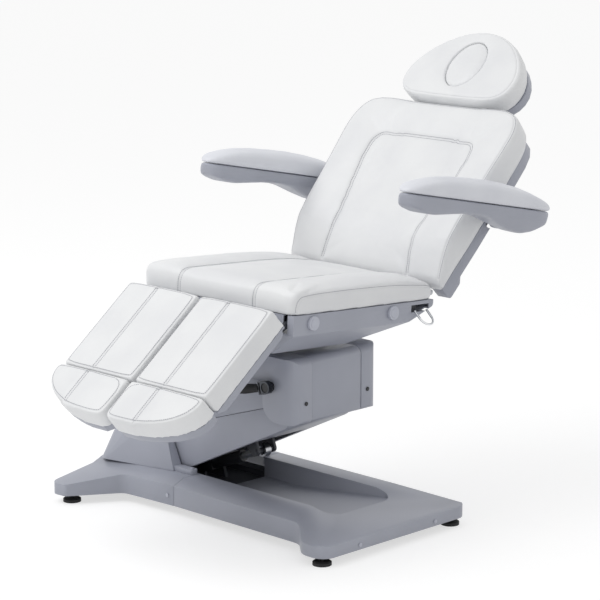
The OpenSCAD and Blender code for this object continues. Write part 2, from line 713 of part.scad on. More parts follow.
// Lock lever on the near side of the head box
lever_x = 57;
lever_z = 82;
lever_pin = [head_pin[0] + lever_x, head_top - lever_z];
hub_r = 13;
hub_len = 24;
lever_drop = 12;
lever_step = 6;
lever_y = -head_half - hub_len + lever_step;
module lock_hub() {
    color(dark) translate([lever_pin[0], 0, lever_pin[1]]) bar_y(hub_r, -head_half - hub_len, -head_half - gap);
}
ring_l = 26;
ring_r = 18;
ring_t = 4;
module on_lever() {
    translate([lever_pin[0], lever_y, lever_pin[1]]) rotate([0, 180 - lever_drop, 0]) children();
}
module lock_ring() {
    color(chrome) on_lever() rotate([90, 0, 0]) difference() {
        linear_extrude(hub_len - 8, center = true) union() {
            circle(r = ring_r);
            translate([0, -ring_r]) square([ring_l, 2 * ring_r]);
        }
        cylinder(r = hub_r + gap, h = hub_len, center = true);
        translate([0, 0, -hub_len]) linear_extrude(2 * hub_len) translate([hub_r + ring_t, 3 - ring_r])
            square([ring_l - hub_r - 2 * ring_t, 2 * ring_r - 6]);
    }
}
grip_r = 14;
module lock_grip() {
    color(dark) on_lever() translate([ring_l + gap, 0, 0]) {
        rotate([0, 90, 0]) cylinder(r1 = grip_r - 3, r2 = grip_r, h = lever_l * 0.4);
        translate([lever_l * 0.4, 0, 0]) rotate([0, 90, 0]) cylinder(r1 = grip_r, r2 = grip_r - 2, h = lever_l * 0.3);
        translate([lever_l * 0.7, 0, 0]) sphere(r = grip_r - 2);
    }
}

// Swivelling carrier of the seat. The chair's own frame has its X from the swivel axis.
swivel_gap = 0.4;
upper_race_z = race_top + swivel_gap;
upper_race_t = 11;
plate_step = 13;
plate_r = race_r - plate_step;
plate_t = 9;
tilt_x = 95;
tilt_z = 56;
tilt_pin = [tilt_x, seat_z - tilt_z];
ear_x = 80;
plate_top = upper_race_z + upper_race_t + plate_t;
table_x = 60;
table_z = 30;
tilt_foot = [-table_x, plate_top + table_z];
module turntable() {
    color(steel) translate([swivel_x, 0, 0]) difference() {
        union() {
            translate([0, 0, upper_race_z]) cylinder(r = race_r, h = upper_race_t);
            translate([0, 0, upper_race_z + upper_race_t - 1]) cylinder(r = plate_r, h = plate_t + 1);
            translate([0, 0, deck_z - deck_t - 4]) cylinder(r = spigot_r, h = upper_race_z - deck_z + deck_t + 5);
            both_x() chair_slab([[20, plate_top - cut], [60, plate_top - cut], [tilt_pin[0] + 15, tilt_pin[1], 12],
                [tilt_pin[0] + 10, tilt_pin[1] + 15, 12], [tilt_pin[0] - 14, tilt_pin[1] + 12, 12]],
                ear_x - 4, ear_x + 4);
            both_x() chair_slab([[tilt_foot[0] - 20, plate_top - cut], [tilt_foot[0] + 20, plate_top - cut],
                [tilt_foot[0] + 10, tilt_foot[1] + 10, 10], [tilt_foot[0] - 10, tilt_foot[1] + 10, 10]],
                14, 20);
            translate([0, tilt_foot[0], tilt_foot[1]]) bar_x(small_pin_r - 2, -20, 20);
        }
        translate([0, 0, deck_z - deck_t - 4 - cut]) cylinder(r = spigot_r - 8, h = upper_race_z - deck_z + deck_t);
        translate([0, tilt_pin[0], tilt_pin[1]]) bar_x(small_pin_r + fit, -ear_x - 6, ear_x + 6);
    }
}
module tilt_shaft() {
    color(chrome) translate([swivel_x, tilt_pin[0], tilt_pin[1]]) bar_x(small_pin_r, -ear_x - 22, ear_x + 22);
}

// Seat. Its frame has v along the sloping seat and w up from the underside of the cushion.
module on_seat() { translate([swivel_x, 0, seat_z]) rotate([-seat_slope, 0, 0]) children(); }
function seat_point(v, w) = [v * cos(seat_slope) + w * sin(seat_slope),
    seat_z - v * sin(seat_slope) + w * cos(seat_slope)];
function in_seat(y, z) = let (c = cos(seat_slope), s = sin(seat_slope)) [y * c - (z - seat_z) * s,
    y * s + (z - seat_z) * c];
seat_v0 = -264;
seat_v1 = seat_v0 + seat_l;
seat_rim = 15;
seat_seam_x = 148;
seam_half = 5;
seam_deep = 5;
seat_rise_shares = [[-1, 0], [-0.86, 0.86], [-0.7, 1], [-0.6, 0.43], [-0.45, 0], [0, 0.29], [0.45, 0], [0.6, 0.43],
    [0.7, 1], [0.86, 0.86], [1, 0]];
seat_crown = 7;
seat_tail_shares = [[0, 1], [0.62, 1], [0.8, 0.92], [0.9, 0.82], [1, 0.74]];
end_shares = [0, 0.12, 0.35, 0.7, 1];
function ends(l, r) = concat([for (k = end_shares) k * r], [for (k = [1:6]) r + (l - 2 * r) * k / 7],
    [for (i = [len(end_shares) - 1:-1:0]) l - end_shares[i] * r]);
pad_step = 2;
pad_step2 = 30;
pad_step3 = 36;
pad_step4 = 4;
module seat_cushion() {
    color(leather) on_seat() translate([0, seat_v0, gap])
        loft([for (s = ends(seat_l, seat_round)) let (e = min(s, seat_l - s), a = seat_side + pad_step - drop(e,
            pad_step2) * 0.8)
            pad_ring(s, -a, a, seat_t * lookup(s / seat_l, seat_tail_shares) - drop(s, pad_step3) * 0.9
                - drop(seat_l - s, seat_round) * 0.8, seat_rim, [pad_step4, pad_step4],
                scaled(seat_rise_shares, seat_crown * (1 - drop(e, seat_round) / seat_round)), [-seat_seam_x,
                seat_seam_x], seam_half, seam_deep)]);
}
seat_round = 44;
tube = 28;
frame_x = 165;
frame_top = -gap;
knee_x = 24;
knee_z = 20;
leg_pin = [seat_v0 - knee_x, seat_z - knee_z];
hip_x = 32;
hip_z = 9;
back_pin = [seat_v1 + hip_x, seat_z - hip_z];
back_ear_x = 240;
knee_z2 = 262;
leg_ear_x = [knee_x, knee_z2];
tilt_v = in_seat(tilt_pin[0], tilt_pin[1]);
leg_v = in_seat(leg_pin[0], leg_pin[1]);
back_v = in_seat(back_pin[0], back_pin[1]);
tilt_x2 = 50;
tilt_z2 = 45;
motor_pin = [seat_v0 + tilt_x2, seat_z - tilt_z2];
motor_v = in_seat(motor_pin[0], motor_pin[1]);
push_x1 = 5;
push_z1 = 74;
back_drive_pin = [-push_x1, seat_z - push_z1];
seat_ear_t = 8;
module seat_ear(p, v0, v1, x0, x1, r) {
    chair_slab([[v0, frame_top - tube + 1], [v1, frame_top - tube + 1], [p[0] + r, p[1], r * 0.8],
        [p[0], p[1] - r, r * 0.8], [p[0] - r, p[1], r * 0.8]], x0, x1);
}
module seat_frame() {
    color(steel) on_seat() difference() {
        union() {
            both_x() block([frame_x - tube / 2, seat_v0 + 20, frame_top - tube], [frame_x + tube / 2, seat_v1 - 46,
                frame_top]);
            for (v = [seat_v0 + 34, tilt_v[0], seat_v1 - 60])
                block([-seat_side + 26, v - tube / 2, frame_top - tube], [seat_side - 26, v + tube / 2, frame_top]);
            both_x() chair_slab([[tilt_v[0] - 14, frame_top - 2], [tilt_v[0] - 14, tilt_v[1], 12],
                [tilt_v[0], tilt_v[1] - 15, 12], [tilt_v[0] + 14, tilt_v[1], 12], [tilt_v[0] + 14, frame_top - 2]],
                ear_x + 6, ear_x + 6 + seat_ear_t);
            both_x() for (x = leg_ear_x) chair_slab([[leg_v[0] - 11, leg_v[1], 9], [leg_v[0], leg_v[1] - 11, 9],
                [seat_v0 + 30, frame_top - tube], [seat_v0 + 30, frame_top - 10], [leg_v[0], leg_v[1] + 7, 7]], x,
                x + 10);
            both_x() chair_slab([[seat_v1 - 60, frame_top], [seat_v1 - 60, frame_top - tube],
                [back_v[0], back_v[1] - 16, 14], [back_v[0] + 16, back_v[1], 14], [back_v[0], back_v[1] + 14, 12],
                [back_v[0] - 14, back_v[1] + 6, 8], [seat_v1 + 5, frame_top - 2]], back_ear_x - 28, back_ear_x);
            both_x() chair_slab([[motor_v[0] - 16, frame_top - tube + 2], [motor_v[0] - 11, motor_v[1] - 10, 8],
                [motor_v[0] + 11, motor_v[1] - 10, 8], [motor_v[0] + 16, frame_top - tube + 2]], 16, 22);
        }
        translate([0, tilt_v[0], tilt_v[1]]) bar_x(small_pin_r + fit, -seat_side, seat_side);
        translate([0, leg_v[0], leg_v[1]]) bar_x(small_pin_r - 2 + fit, -seat_side, seat_side);
        translate([0, back_v[0], back_v[1]]) bar_x(small_pin_r + fit, -seat_side, seat_side);
        translate([0, motor_v[0], motor_v[1]]) bar_x(small_pin_r - 2 + fit, -30, 30);
    }
}
module seat_hinge_pins() {
    color(chrome) on_seat() {
        both_x() translate([0, leg_v[0], leg_v[1]]) bar_x(small_pin_r - 2, leg_ear_x[0] - 12, leg_ear_x[1] + 14);
        both_x() translate([0, back_v[0], back_v[1]]) bar_x(small_pin_r, back_ear_x - 46, back_ear_x + 18);
        translate([0, motor_v[0], motor_v[1]]) bar_x(small_pin_r - 2, -24, 24);
    }
}
skirt_rise_v = 39;
skirt_crease = 55;
skirt_low_half = 205;
skirt_x = 16;
skirt_round = 14;
skirt_round2 = 40;
skirt_x2 = 2;
skirt_z = 18;
skirt_x3 = 4;
skirt_round3 = 20;
skirt_outline = [[seat_v0 + skirt_x, -skirt_h, skirt_round], [skirt_rise_v, -skirt_h, skirt_round2],
    [seat_v1 - skirt_x2, -skirt_z, skirt_round],
    [seat_v1 - skirt_x2, -gap], [seat_v0 + skirt_x3, -gap], [seat_v0 + skirt_x3, -skirt_crease, skirt_round3]];
function skirt_section(d) = [[-skirt_low_half + d, -skirt_h + d], [skirt_low_half - d, -skirt_h + d],
    [seat_side - skirt_x2 - d, -skirt_crease], [seat_side - skirt_x2 - d, d > 0 ? cut : -gap],
    [-seat_side + skirt_x2 + d, d > 0 ? cut : -gap], [-seat_side + skirt_x2 + d, -skirt_crease]];
module skirt_form(d) {
    intersection() {
        chair_slab(shrink(skirt_outline, d), -seat_side, seat_side);
        translate([0, seat_v1 + cut, 0]) rotate([90, 0, 0]) linear_extrude(seat_l + 2 * cut) polygon(skirt_section(d));
    }
}
skirt_y = 14;
skirt_z2 = 30;
skirt_r = 24;
skirt_x4 = 3;
skirt_z3 = 50;
skirt_x5 = 13;
skirt_y2 = 26;
skirt_x6 = 31;
skirt_y3 = 62;
skirt_z4 = 60;
skirt_x7 = 44;
skirt_y4 = 90;
skirt_z5 = 120;
skirt_z6 = 34;
skirt_x8 = 34;
skirt_y5 = 20;
skirt_z7 = 130;
skirt_y6 = 80;
skirt_y7 = 36;
skirt_z8 = 10;
module seat_shell() {
    color(plastic) on_seat() difference() {
        skirt_form(0);
        skirt_form(shell_wall);
        block([-seat_side + skirt_x, seat_v0 + skirt_y, -shell_wall - 2 * gap - cut], [seat_side - skirt_x,
            seat_v1 - skirt_y, cut]);
        translate([0, 0, -skirt_h - skirt_z2]) cylinder(r = race_r + skirt_r, h = skirt_h);
        both_x() for (x = leg_ear_x) block([x - skirt_x4, seat_v0, -skirt_z3], [x + skirt_x5, seat_v0 + skirt_y2, cut]);
        both_x() block([back_ear_x - skirt_x6, seat_v1 - skirt_y3, -skirt_z4], [back_ear_x + skirt_x4, seat_v1 + cut,
            cut]);
        block([-skirt_x7, seat_v1 - skirt_y4, -skirt_z5], [skirt_x7, seat_v1 + cut, -skirt_z6]);
        block([-skirt_x8, skirt_rise_v + skirt_y5, -skirt_z7], [skirt_x8, seat_v1 - skirt_y6, -skirt_z6]);
        block([seat_side - skirt_x, hook_v - skirt_y7, -skirt_z2], [seat_side, hook_v + skirt_y7, -skirt_z8]);
    }
}
hook_step = 56;
hook_v = seat_v1 - hook_step;
cap_x = 74;
cap_z = 170;
cap_v = [seat_v0 + cap_x, seat_v1 - cap_z];
cap_t = 9;
module side_caps() {
    color(plastic) on_seat() both_x() for (v = cap_v) translate([seat_side - 2 + gap, v, -skirt_crease / 2 + 4]) {
        bar_x(cap_r, 0, cap_t);
        bar_x(cap_r - 6, cap_t - 1, cap_t + 1.5);
    }
}
wire_r = 3;
module handset_hook() {
    color(chrome) on_seat() translate([seat_side - 6, hook_v, -20]) rotate([0, 132, 0]) {
        for (s = [-1, 1]) translate([0, s * 24, 0]) translate([0, 0, 9]) cylinder(r = wire_r + 0.6, h = 28);
        translate([0, 0, 36]) rotate([90, 0, 90]) rotate_extrude(angle = 180) translate([24, 0]) circle(r = wire_r);
    }
}
module control_box() {
    color(dark) on_seat() block([-frame_x, seat_v0 + 60, -78], [-50, seat_v0 + 190, frame_top - tube - gap]);
}

// Tilt actuator, from the seat frame's front ears to the foot on the turntable
tilt_run = [tilt_foot[0], tilt_foot[1]] - motor_pin;
tilt_len = norm(tilt_run);
module on_tilt() { translate([swivel_x, motor_pin[0], motor_pin[1]]) rotate([atan2(tilt_run[1], tilt_run[0]), 0,
    0]) children(); }
module bar_s(r, s0, s1) { translate([0, s1, 0]) rotate([90, 0, 0]) cylinder(r = r, h = s1 - s0); }
module tilt_motor() {
    color(dark) on_tilt() difference() {
        union() {
            bar_x(11, -14, 14);
            block([-14, 0, -9], [14, 26, 9]);
            bar_s(13, 22, tilt_len * 0.66);
        }
        bar_x(small_pin_r - 2 + fit, -16, 16);
        bar_s(7 + fit, tilt_len * 0.3, tilt_len);
    }
}
module tilt_rod() {
    color(chrome) on_tilt() difference() {
        union() {
            bar_s(7, tilt_len * 0.45, tilt_len - 11);
            translate([0, tilt_len, 0]) bar_x(13, -12, 12);
        }
        translate([0, tilt_len, 0]) bar_x(small_pin_r - 2 + 3, -14, 14);
    }
}

// Back actuator, fixed under the seat frame, pushing the lever of the back frame
lever_r = 75;
lever_step2 = 3;
lever_pin_r = small_pin_r - lever_step2;
lever_at = [back_pin[0] + lever_r * sin(10), back_pin[1] - lever_r * cos(10)];
push_step = 6;
push_z = lever_at[1] + push_step;
push_x = 110;
module on_push() { translate([swivel_x, back_drive_pin[0], push_z]) children(); }
push_len = lever_at[0] - back_drive_pin[0];
module back_motor() {
    color(dark) translate([swivel_x, back_drive_pin[0], push_z]) difference() {
        union() {
            block([-24, -20, -20], [24, 60, 26]);
            bar_s(12, 55, push_len * 0.62);
            block([-24, -6, 0], [24, 30, in_tube_z]);
        }
        bar_s(8 + fit, push_len * 0.1, push_len);
    }
}
tube_step = 2;
in_tube_z = seat_z - tube - push_z - tube_step;
module back_rod() {
    color(chrome) on_push() difference() {
        union() {
            bar_s(8, push_len * 0.3, push_len - 17);
            translate([0, push_len, 0]) bar_x(20, -10, 10);
        }
        translate([0, push_len, 0]) bar_x(lever_pin_r + 7.5, -14, 14);
    }
}

// Back. Its frame has s up along the back and h square out of it, from the lower end of the shell line.
hip_x2 = 46;
hip_z2 = 4;
back_foot = [seat_v1 + hip_x2, seat_z - hip_z2];
module on_back() { translate([swivel_x, back_foot[0], back_foot[1]]) rotate([back_angle, 0, 0]) children(); }
function back_point(s, h) = [back_foot[0] + s * cos(back_angle) - h * sin(back_angle),
    back_foot[1] + s * sin(back_angle) + h * cos(back_angle)];
function in_back(y, z) = let (c = cos(back_angle), q = sin(back_angle), a = y - back_foot[0], b = z - back_foot[1])
    [a * c + b * q, -a * q + b * c];
back_half = 290;
back_half_shares = [[0, 0.985], [0.1, 0.99], [0.3, 1], [0.6, 1], [0.82, 0.99], [0.89, 0.965], [0.94, 0.91],
    [0.98, 0.81], [1, 0.66]];
face_shares = [[0, 1.03], [0.1, 1.035], [0.25, 1.055], [0.5, 1.075], [0.77, 1.105], [0.85, 1.1], [0.91, 1.06],
    [0.95, 0.99], [0.98, 0.88], [1, 0.7]];
depth_shares = [[0, 0.34], [0.06, 0.5], [0.12, 0.69], [0.2, 0.85], [0.32, 0.92], [0.5, 0.945], [0.75, 1], [1, 1]];
panel_shares = [[0, 0.59], [0.1, 0.555], [0.2, 0.53], [0.33, 0.55], [0.49, 0.61], [0.64, 0.65], [0.745, 0.63],
    [0.77, 0.59], [0.785, 0.5]];
panel_top = 0.785;
back_ring_shares = [0, 0.02, 0.05, 0.09, 0.14, 0.2, 0.3, 0.42, 0.54, 0.65, 0.73, 0.76, 0.775, panel_top, 0.795, 0.83,
    0.88,
    0.92, 0.95, 0.975, 0.99, 1];
back_rise_shares = [[-1, 0], [-0.86, 0], [-0.7, -0.45], [-0.52, -0.91], [-0.34, -1], [0.34, -1], [0.52, -0.91],
    [0.7, -0.45], [0.86, 0], [1, 0]];
back_dish = 22;
dish_shares = [[0, 0.25], [0.1, 0.4], [0.3, 0.75], [0.5, 1], [0.78, 1], [0.88, 0.55], [0.95, 0.35], [1, 0.2]];
back_rim = 16;
trough_w = 0.01;
bolster_step = 12;
bolster_step2 = 34;
module back_cushion() {
    color(leather) on_back() translate([0, 0, gap])
        loft([for (k = back_ring_shares) let (s = k * back_l, a = back_half * lookup(k, face_shares),
              t = back_t * lookup(k, depth_shares) - drop(s, bolster_step) - drop(back_l - s, bolster_step2) * 0.9,
              pan = back_half * lookup(k, panel_shares), dip = seam_deep * max(0, 1 - abs(k - panel_top) / trough_w))
            pad_ring(s, -a, a, t, back_rim, [a - back_half * lookup(k, back_half_shares), a - back_half * lookup(k,
                back_half_shares)],
                [for (p = scaled(back_rise_shares, back_dish * lookup(k, dish_shares))) [p[0],
                p[1] - (abs(p[0]) < 0.5 ? dip : 0)]],
                [-pan, pan], seam_half + 1, k > panel_top ? 0 : seam_deep)]);
}
sleeve_x = 60;
sleeve_h = -14;
post_r = 8;
tube_step2 = 4;
tube_h0 = -back_shell_h + shell_wall + tube_step2;
lever_in = in_back(lever_at[0], lever_at[1]);
back_pin_in = in_back(back_pin[0], back_pin[1]);
module back_frame() {
    color(steel) on_back() difference() {
        union() {
            both_x() block([150 - 12, 24, tube_h0], [150 + 12, back_l * 0.86, -shell_wall - 1]);
            for (s = [36, back_l * 0.5, back_l * 0.84]) block([-150, s - 12, tube_h0], [150, s + 12, -shell_wall - 1]);
            both_x() translate([sleeve_x, 0, sleeve_h]) bar_s(post_r + 2.5, back_l * 0.72, back_l - 32);
            both_x() chair_slab([[lever_in[0] - 8, lever_in[1] - 10, 9], [lever_in[0] + 8, lever_in[1] - 10, 9],
                [60, tube_h0 + 2], [24, tube_h0 + 8], [lever_in[0] - 10, lever_in[1] + 8, 9]], 12, 20);
            both_x() translate([0, arm_in[0], arm_in[1]]) bar_x(small_pin_r, back_half - 20, back_half + pivot_reach);
            translate([0, lever_in[0], lever_in[1]]) bar_x(lever_pin_r, -20, 20);
            both_x() chair_slab([[back_pin_in[0] - 14, back_pin_in[1], 12], [back_pin_in[0], back_pin_in[1] - 14, 12],
                [44, tube_h0], [44, -shell_wall - 1], [3, -shell_wall - 1], [-6, 8, 4], [back_pin_in[0] + 2,
                back_pin_in[1] + 12, 10]],
                back_ear_x - 41, back_ear_x - 31);
            both_x() block([150, 26, tube_h0], [back_ear_x - 31, 46, -shell_wall - 1]);
            both_x() block([150, arm_in[0] - 14, tube_h0], [back_half - shell_wall - 9, arm_in[0] + 14,
                -shell_wall - 1]);
        }
        both_x() translate([sleeve_x, 0, sleeve_h]) bar_s(post_r + fit, back_l * 0.7, back_l);
        translate([0, back_pin_in[0], back_pin_in[1]]) bar_x(small_pin_r + fit, -seat_side, seat_side);
    }
}
rear_x1 = 6;
rear_z = 14;
rear_round = 10;
rear_x2 = 62;
rear_round2 = 8;
rear_x3 = 78;
rear_x4 = 34;
rear_round3 = 24;
rear_x5 = 12;
rear_z2 = 16;
rear_round4 = 14;
back_shell_outline = [[rear_x1, -back_shell_h - rear_z, rear_round], [rear_x2, -back_shell_h - rear_z, rear_round2],
    [rear_x3, -back_shell_h, rear_round2],
    [back_l - rear_x4, -back_shell_h, rear_round3], [back_l - rear_x5, -rear_z2, rear_round4], [back_l - rear_x5,
        -gap], [rear_x1, -gap]];
rear_z3 = 100;
rear_deep = 100;
rear_step = 2;
rear_x6 = 46;
rear_z4 = 90;
rear_x7 = 3;
rear_y = 30;
rear_x8 = 36;
rear_y2 = 70;
rear_z5 = 2;
rear_r = 4;
rear_from = 60;
rear_r2 = 1;
rear_from2 = 24;
module back_shell() {
    color(plastic) on_back() difference() {
        intersection() {
            chair_slab(back_shell_outline, -back_half, back_half);
            translate([0, 0, -rear_z3]) linear_extrude(rear_deep) polygon(back_plan(rear_step));
        }
        intersection() {
            chair_slab(shrink(back_shell_outline, shell_wall), -back_half, back_half);
            translate([0, 0, -rear_z3]) linear_extrude(rear_deep) polygon(back_plan(rear_step + shell_wall));
        }
        both_x() block([back_ear_x - rear_x6, -cut, -rear_z4], [back_ear_x + rear_x7, rear_y, cut]);
        block([-rear_x8, -cut, -rear_z4], [rear_x8, rear_y2, -shell_wall - rear_z5]);
        both_x() translate([sleeve_x, 0, sleeve_h]) bar_s(post_r + rear_r, back_l - rear_from, back_l);
        both_x() translate([0, arm_in[0], arm_in[1]]) bar_x(arm_hub_r + rear_r2, back_half - rear_from2,
            back_half + cut);
    }
}
function back_plan(d) = let (q = [for (k = back_half_shares) [back_half * k[1] - d, d + (back_l - 2 * d) * k[0]]])
    concat([for (p = q) p], [for (i = [len(q) - 1:-1:0]) [-q[i][0], q[i][1]]]);

// Armrests. Their frame has p back along the armrest from its tip and q up from the line of the pad.
rest_slope = 11.5;
rest_tip_share = 0.0565;
rest_tip = back_point(back_l * rest_tip_share, armrest_h);
module on_rest(side) {
    translate([swivel_x + side * armrest_x, rest_tip[0], rest_tip[1]]) rotate([-rest_slope, 0, 0]) children();
}
function rest_point(p, q) = [rest_tip[0] + p * cos(rest_slope) + q * sin(rest_slope),
    rest_tip[1] - p * sin(rest_slope) + q * cos(rest_slope)];
arm_hub_r = 20;
pivot_reach = 26;
rest_step = 50;
rest_pin = rest_point(armrest_l * 0.82, -rest_step);
arm_in = in_back(rest_pin[0], rest_pin[1]);
rest_low_shares = [[0.007, 0.19], [0.028, 0.49], [0.11, 0.67], [0.18, 0.685], [0.27, 0.59], [0.35, 0.51],
    [0.46, 0.48], [0.545, 0.56], [0.635, 0.77], [0.725, 0.945], [0.815, 1], [0.885, 0.86], [0.95, 0.52], [0.98, 0.12]];
rest_deep = 73;
rest_low_round = 12;
rest_z = 4;
rest_low = concat([[0, -gap], [0, -rest_z]], [for (p = rest_low_shares) [p[0] * armrest_l, -p[1] * rest_deep,
    rest_low_round]],
    [[armrest_l * 0.985, -gap]]);
rest_pad_t = 64;
rest_rise_shares = [[0, 0.06], [0.012, 0.26], [0.04, 0.42], [0.085, 0.6], [0.15, 0.76], [0.225, 0.88], [0.36, 0.97],
    [0.53, 1], [0.7, 0.94], [0.8, 0.81], [0.87, 0.65], [0.94, 0.42], [0.98, 0.22], [1, 0.06]];
rest_round = 0.11;
function rest_width(k) = armrest_w / 2 * max(0.2, sqrt(max(0, 1 - pow(max(0, 1 - k / rest_round,
    (k - 1) / rest_round + 1), 2))));
rest_z2 = 100;
rest_deep1 = 100;
rest_step2 = 1;
rest_z3 = 26;
rest_x = 40;
rest_z4 = 80;
rest_from = 1;
rest_to = 24;
rest_to2 = 1;
module armrest_shell(side) {
    color(plastic) {
        on_rest(side) difference() {
            intersection() {
                chair_slab(rest_low, -armrest_w / 2, armrest_w / 2);
                translate([0, 0, -rest_z2]) linear_extrude(rest_deep1)
                    polygon(concat([for (k = rest_shares) [rest_width(k) - 3, k * armrest_l]],
                        [for (i = [len(rest_shares) - 1:-1:0]) let (k = rest_shares[i]) [3 - rest_width(k),
                k * armrest_l]]));
            }
            for (s = [-rest_step2, rest_step2]) translate([s * armrest_w / 2, -cut, -rest_z3]) rotate([0, s * 32, 0])
                translate([s > 0 ? 0 : -rest_x, 0, -rest_z4]) cube([rest_x, armrest_l + 2 * cut, rest_z4]);
        }
        translate([swivel_x, rest_pin[0], rest_pin[1]]) mirror([side < 0 ? 1 : 0, 0, 0]) difference() {
            bar_x(arm_hub_r, back_half + rest_from, armrest_x - armrest_w / 2 + rest_to);
            bar_x(small_pin_r + fit, back_half + rest_from - cut, back_half + pivot_reach + rest_to2);
        }
    }
}
rest_shares = [0, 0.01, 0.03, 0.06, 0.11, 0.19, 0.29, 0.41, 0.53, 0.65, 0.76, 0.84, 0.89, 0.94, 0.97, 0.99, 1];
rest_step3 = 32;
rest_step4 = 3;
module armrest_pad(side) {
    color(leather) on_rest(side) translate([0, 0, gap])
        loft([for (k = rest_shares) let (a = rest_width(k), t = rest_pad_t * lookup(k, rest_rise_shares))
            pad_ring(k * armrest_l, -a, a, t * 0.88, rest_step3, [rest_step4, rest_step4], scaled(pillow, 0.12 * t),
                [], 1, 0)]);
}

// Headrest, on the same frame as the back
crown_step = 3;
hr_s0 = back_l + crown_step;
hr_h0 = 44;
hr_shell_h = 24;
crown_x = 46;
crown_z = 4;
hr_pin = [hr_s0 + crown_x, crown_z];
hr_ring_shares = [0, 0.025, 0.06, 0.11, 0.18, 0.27, 0.38, 0.5, 0.62, 0.73, 0.83, 0.9, 0.95, 0.98, 1];
hr_half_shares = [[0, 0.5], [0.025, 0.66], [0.06, 0.8], [0.11, 0.9], [0.18, 0.965], [0.27, 1], [0.38, 1], [0.5, 0.955],
    [0.62, 0.87], [0.73, 0.76], [0.83, 0.62], [0.9, 0.48], [0.95, 0.35], [0.98, 0.23], [1, 0.12]];
hr_rim = 16;
hr_tuck_share = 0.07;
head_crown = 4;
plug_s = hr_s0 + headrest_l * 0.5;
plug_gap = 1.2;
module plug_hole(d, z0, z1) {
    translate([0, plug_s, z0]) linear_extrude(z1 - z0) scale([plug_w / plug_l, 1]) circle(r = plug_l / 2 + d);
}
pillow_step = 20;
module headrest_cushion() {
    color(leather) on_back() difference() {
        translate([0, hr_s0, hr_h0 + gap])
            loft([for (k = hr_ring_shares) let (s = k * headrest_l, e = min(s, headrest_l - s),
                    a = headrest_w / 2 * lookup(k, hr_half_shares))
                pad_ring(s, -a, a, headrest_t - drop(e, hr_rim) * 0.8, hr_rim, [hr_tuck_share * a, hr_tuck_share * a],
                    scaled(pillow, head_crown), [], 1, 0)]);
        plug_hole(plug_gap, hr_h0 - cut, hr_h0 + headrest_t + pillow_step);
    }
}
module face_plug() {
    color(leather) on_back() {
        plug_hole(0, hr_h0 + gap, hr_h0 + headrest_t - 2);
        translate([0, plug_s, hr_h0 + headrest_t - 2 - 0.1]) scale([plug_w / plug_l, 1, 0.1]) difference() {
            sphere(r = plug_l / 2);
            translate([0, 0, -plug_l]) cube(2 * plug_l, center = true);
        }
    }
}
crown_v = 10;
crown_round = 8;
crown_v2 = 14;
crown_w = 12;
crown_round2 = 10;
crown_v3 = 16;
crown_w2 = 2;
crown_x2 = 16;
crown_x3 = 26;
crown_r = 2;
module headrest_shell() {
    color(plastic) on_back() difference() {
        union() {
            intersection() {
                translate([0, hr_s0, 0]) linear_extrude(hr_h0) polygon(headrest_plan(hr_tuck_share * headrest_w / 2));
                chair_slab([[hr_s0 + crown_v, hr_h0 - hr_shell_h, crown_round], [hr_s0 + headrest_l - crown_v,
                hr_h0 - hr_shell_h, crown_round],
                    [hr_s0 + headrest_l, hr_h0], [hr_s0, hr_h0]], -headrest_w, headrest_w);
            }
            both_x() chair_slab([[hr_pin[0] - crown_v2, hr_pin[1] - crown_w, crown_round2], [hr_pin[0] + crown_v2,
                hr_pin[1] - crown_w, crown_round2],
                [hr_pin[0] + crown_v3, hr_h0 - hr_shell_h + crown_w2], [hr_pin[0] - crown_v3,
                hr_h0 - hr_shell_h + crown_w2]], sleeve_x + crown_x2, sleeve_x + crown_x3);
        }
        plug_hole(plug_gap, -cut, hr_h0 + cut);
        translate([0, hr_pin[0], hr_pin[1]]) bar_x(small_pin_r - crown_r + fit, -headrest_w / 2, headrest_w / 2);
    }
}
function headrest_plan(d) = let (q = [for (k = hr_half_shares) [headrest_w / 2 * k[1] - d * 0.7,
    d / 2 + (headrest_l - d) * k[0]]])
    concat(q, [for (i = [len(q) - 1:-1:0]) [-q[i][0], q[i][1]]]);
module headrest_posts() {
    color(chrome) on_back() {
        both_x() translate([sleeve_x, 0, sleeve_h]) bar_s(post_r, back_l * 0.73, hr_pin[0] + 2);
        translate([0, hr_pin[0], hr_pin[1]]) difference() {
            union() {
                both_x() bar_x(12, sleeve_x - 12, sleeve_x + 15);
                bar_x(small_pin_r - 2, -sleeve_x - 30, sleeve_x + 30);
            }
        }
    }
}

// Leg rests. Their frame has s down along the leg and n out of its face; the near one has negative x.
knee_x2 = 56;
knee_z3 = 32;
knee_z4 = 8;
leg_top = [seat_v0 - knee_x2, seat_z + knee_z3 + knee_z4];
module on_leg() { translate([swivel_x, leg_top[0], leg_top[1]]) rotate([leg_angle, 0, 0]) rotate([0, 0,
    180]) children(); }
function in_leg(y, z) = let (c = cos(leg_angle), q = sin(leg_angle), a = y - leg_top[0], b = z - leg_top[1])
    [-a * c - b * q, -a * q + b * c];
leg_x0 = leg_gap / 2;
calf_step = 7;
leg_x1 = seat_side - calf_step;
leg_rim = 9;
leg_in = in_leg(leg_pin[0], leg_pin[1]);
leg_seam_x = leg_x0 + (leg_x1 - leg_x0) * 0.42;
leg_flare = -9;
leg_face = 4;
leg_crown = 3;
leg_rise = scaled([[-1, 0], [-0.7, 0.67], [0, 1], [0.7, 0.67], [1, 0]], leg_crown);
calf_step2 = 4;
calf_step3 = 2;
module leg_cushion(side) {
    color(leather) on_leg() mirror([side > 0 ? 1 : 0, 0, 0]) translate([0, 0, leg_face - leg_t])
        loft([for (s = ends(leg_l, leg_rim + calf_step2)) let (e = min(s, leg_l - s), q = drop(e, leg_rim) * 0.4)
            pad_ring(s, leg_x0 + q, leg_x1 + leg_flare - q, leg_t - calf_step3 - drop(e, leg_rim) * 0.8, leg_rim,
                [calf_step3, leg_flare], leg_rise, [leg_seam_side(side)], seam_half, seam_deep)]);
}
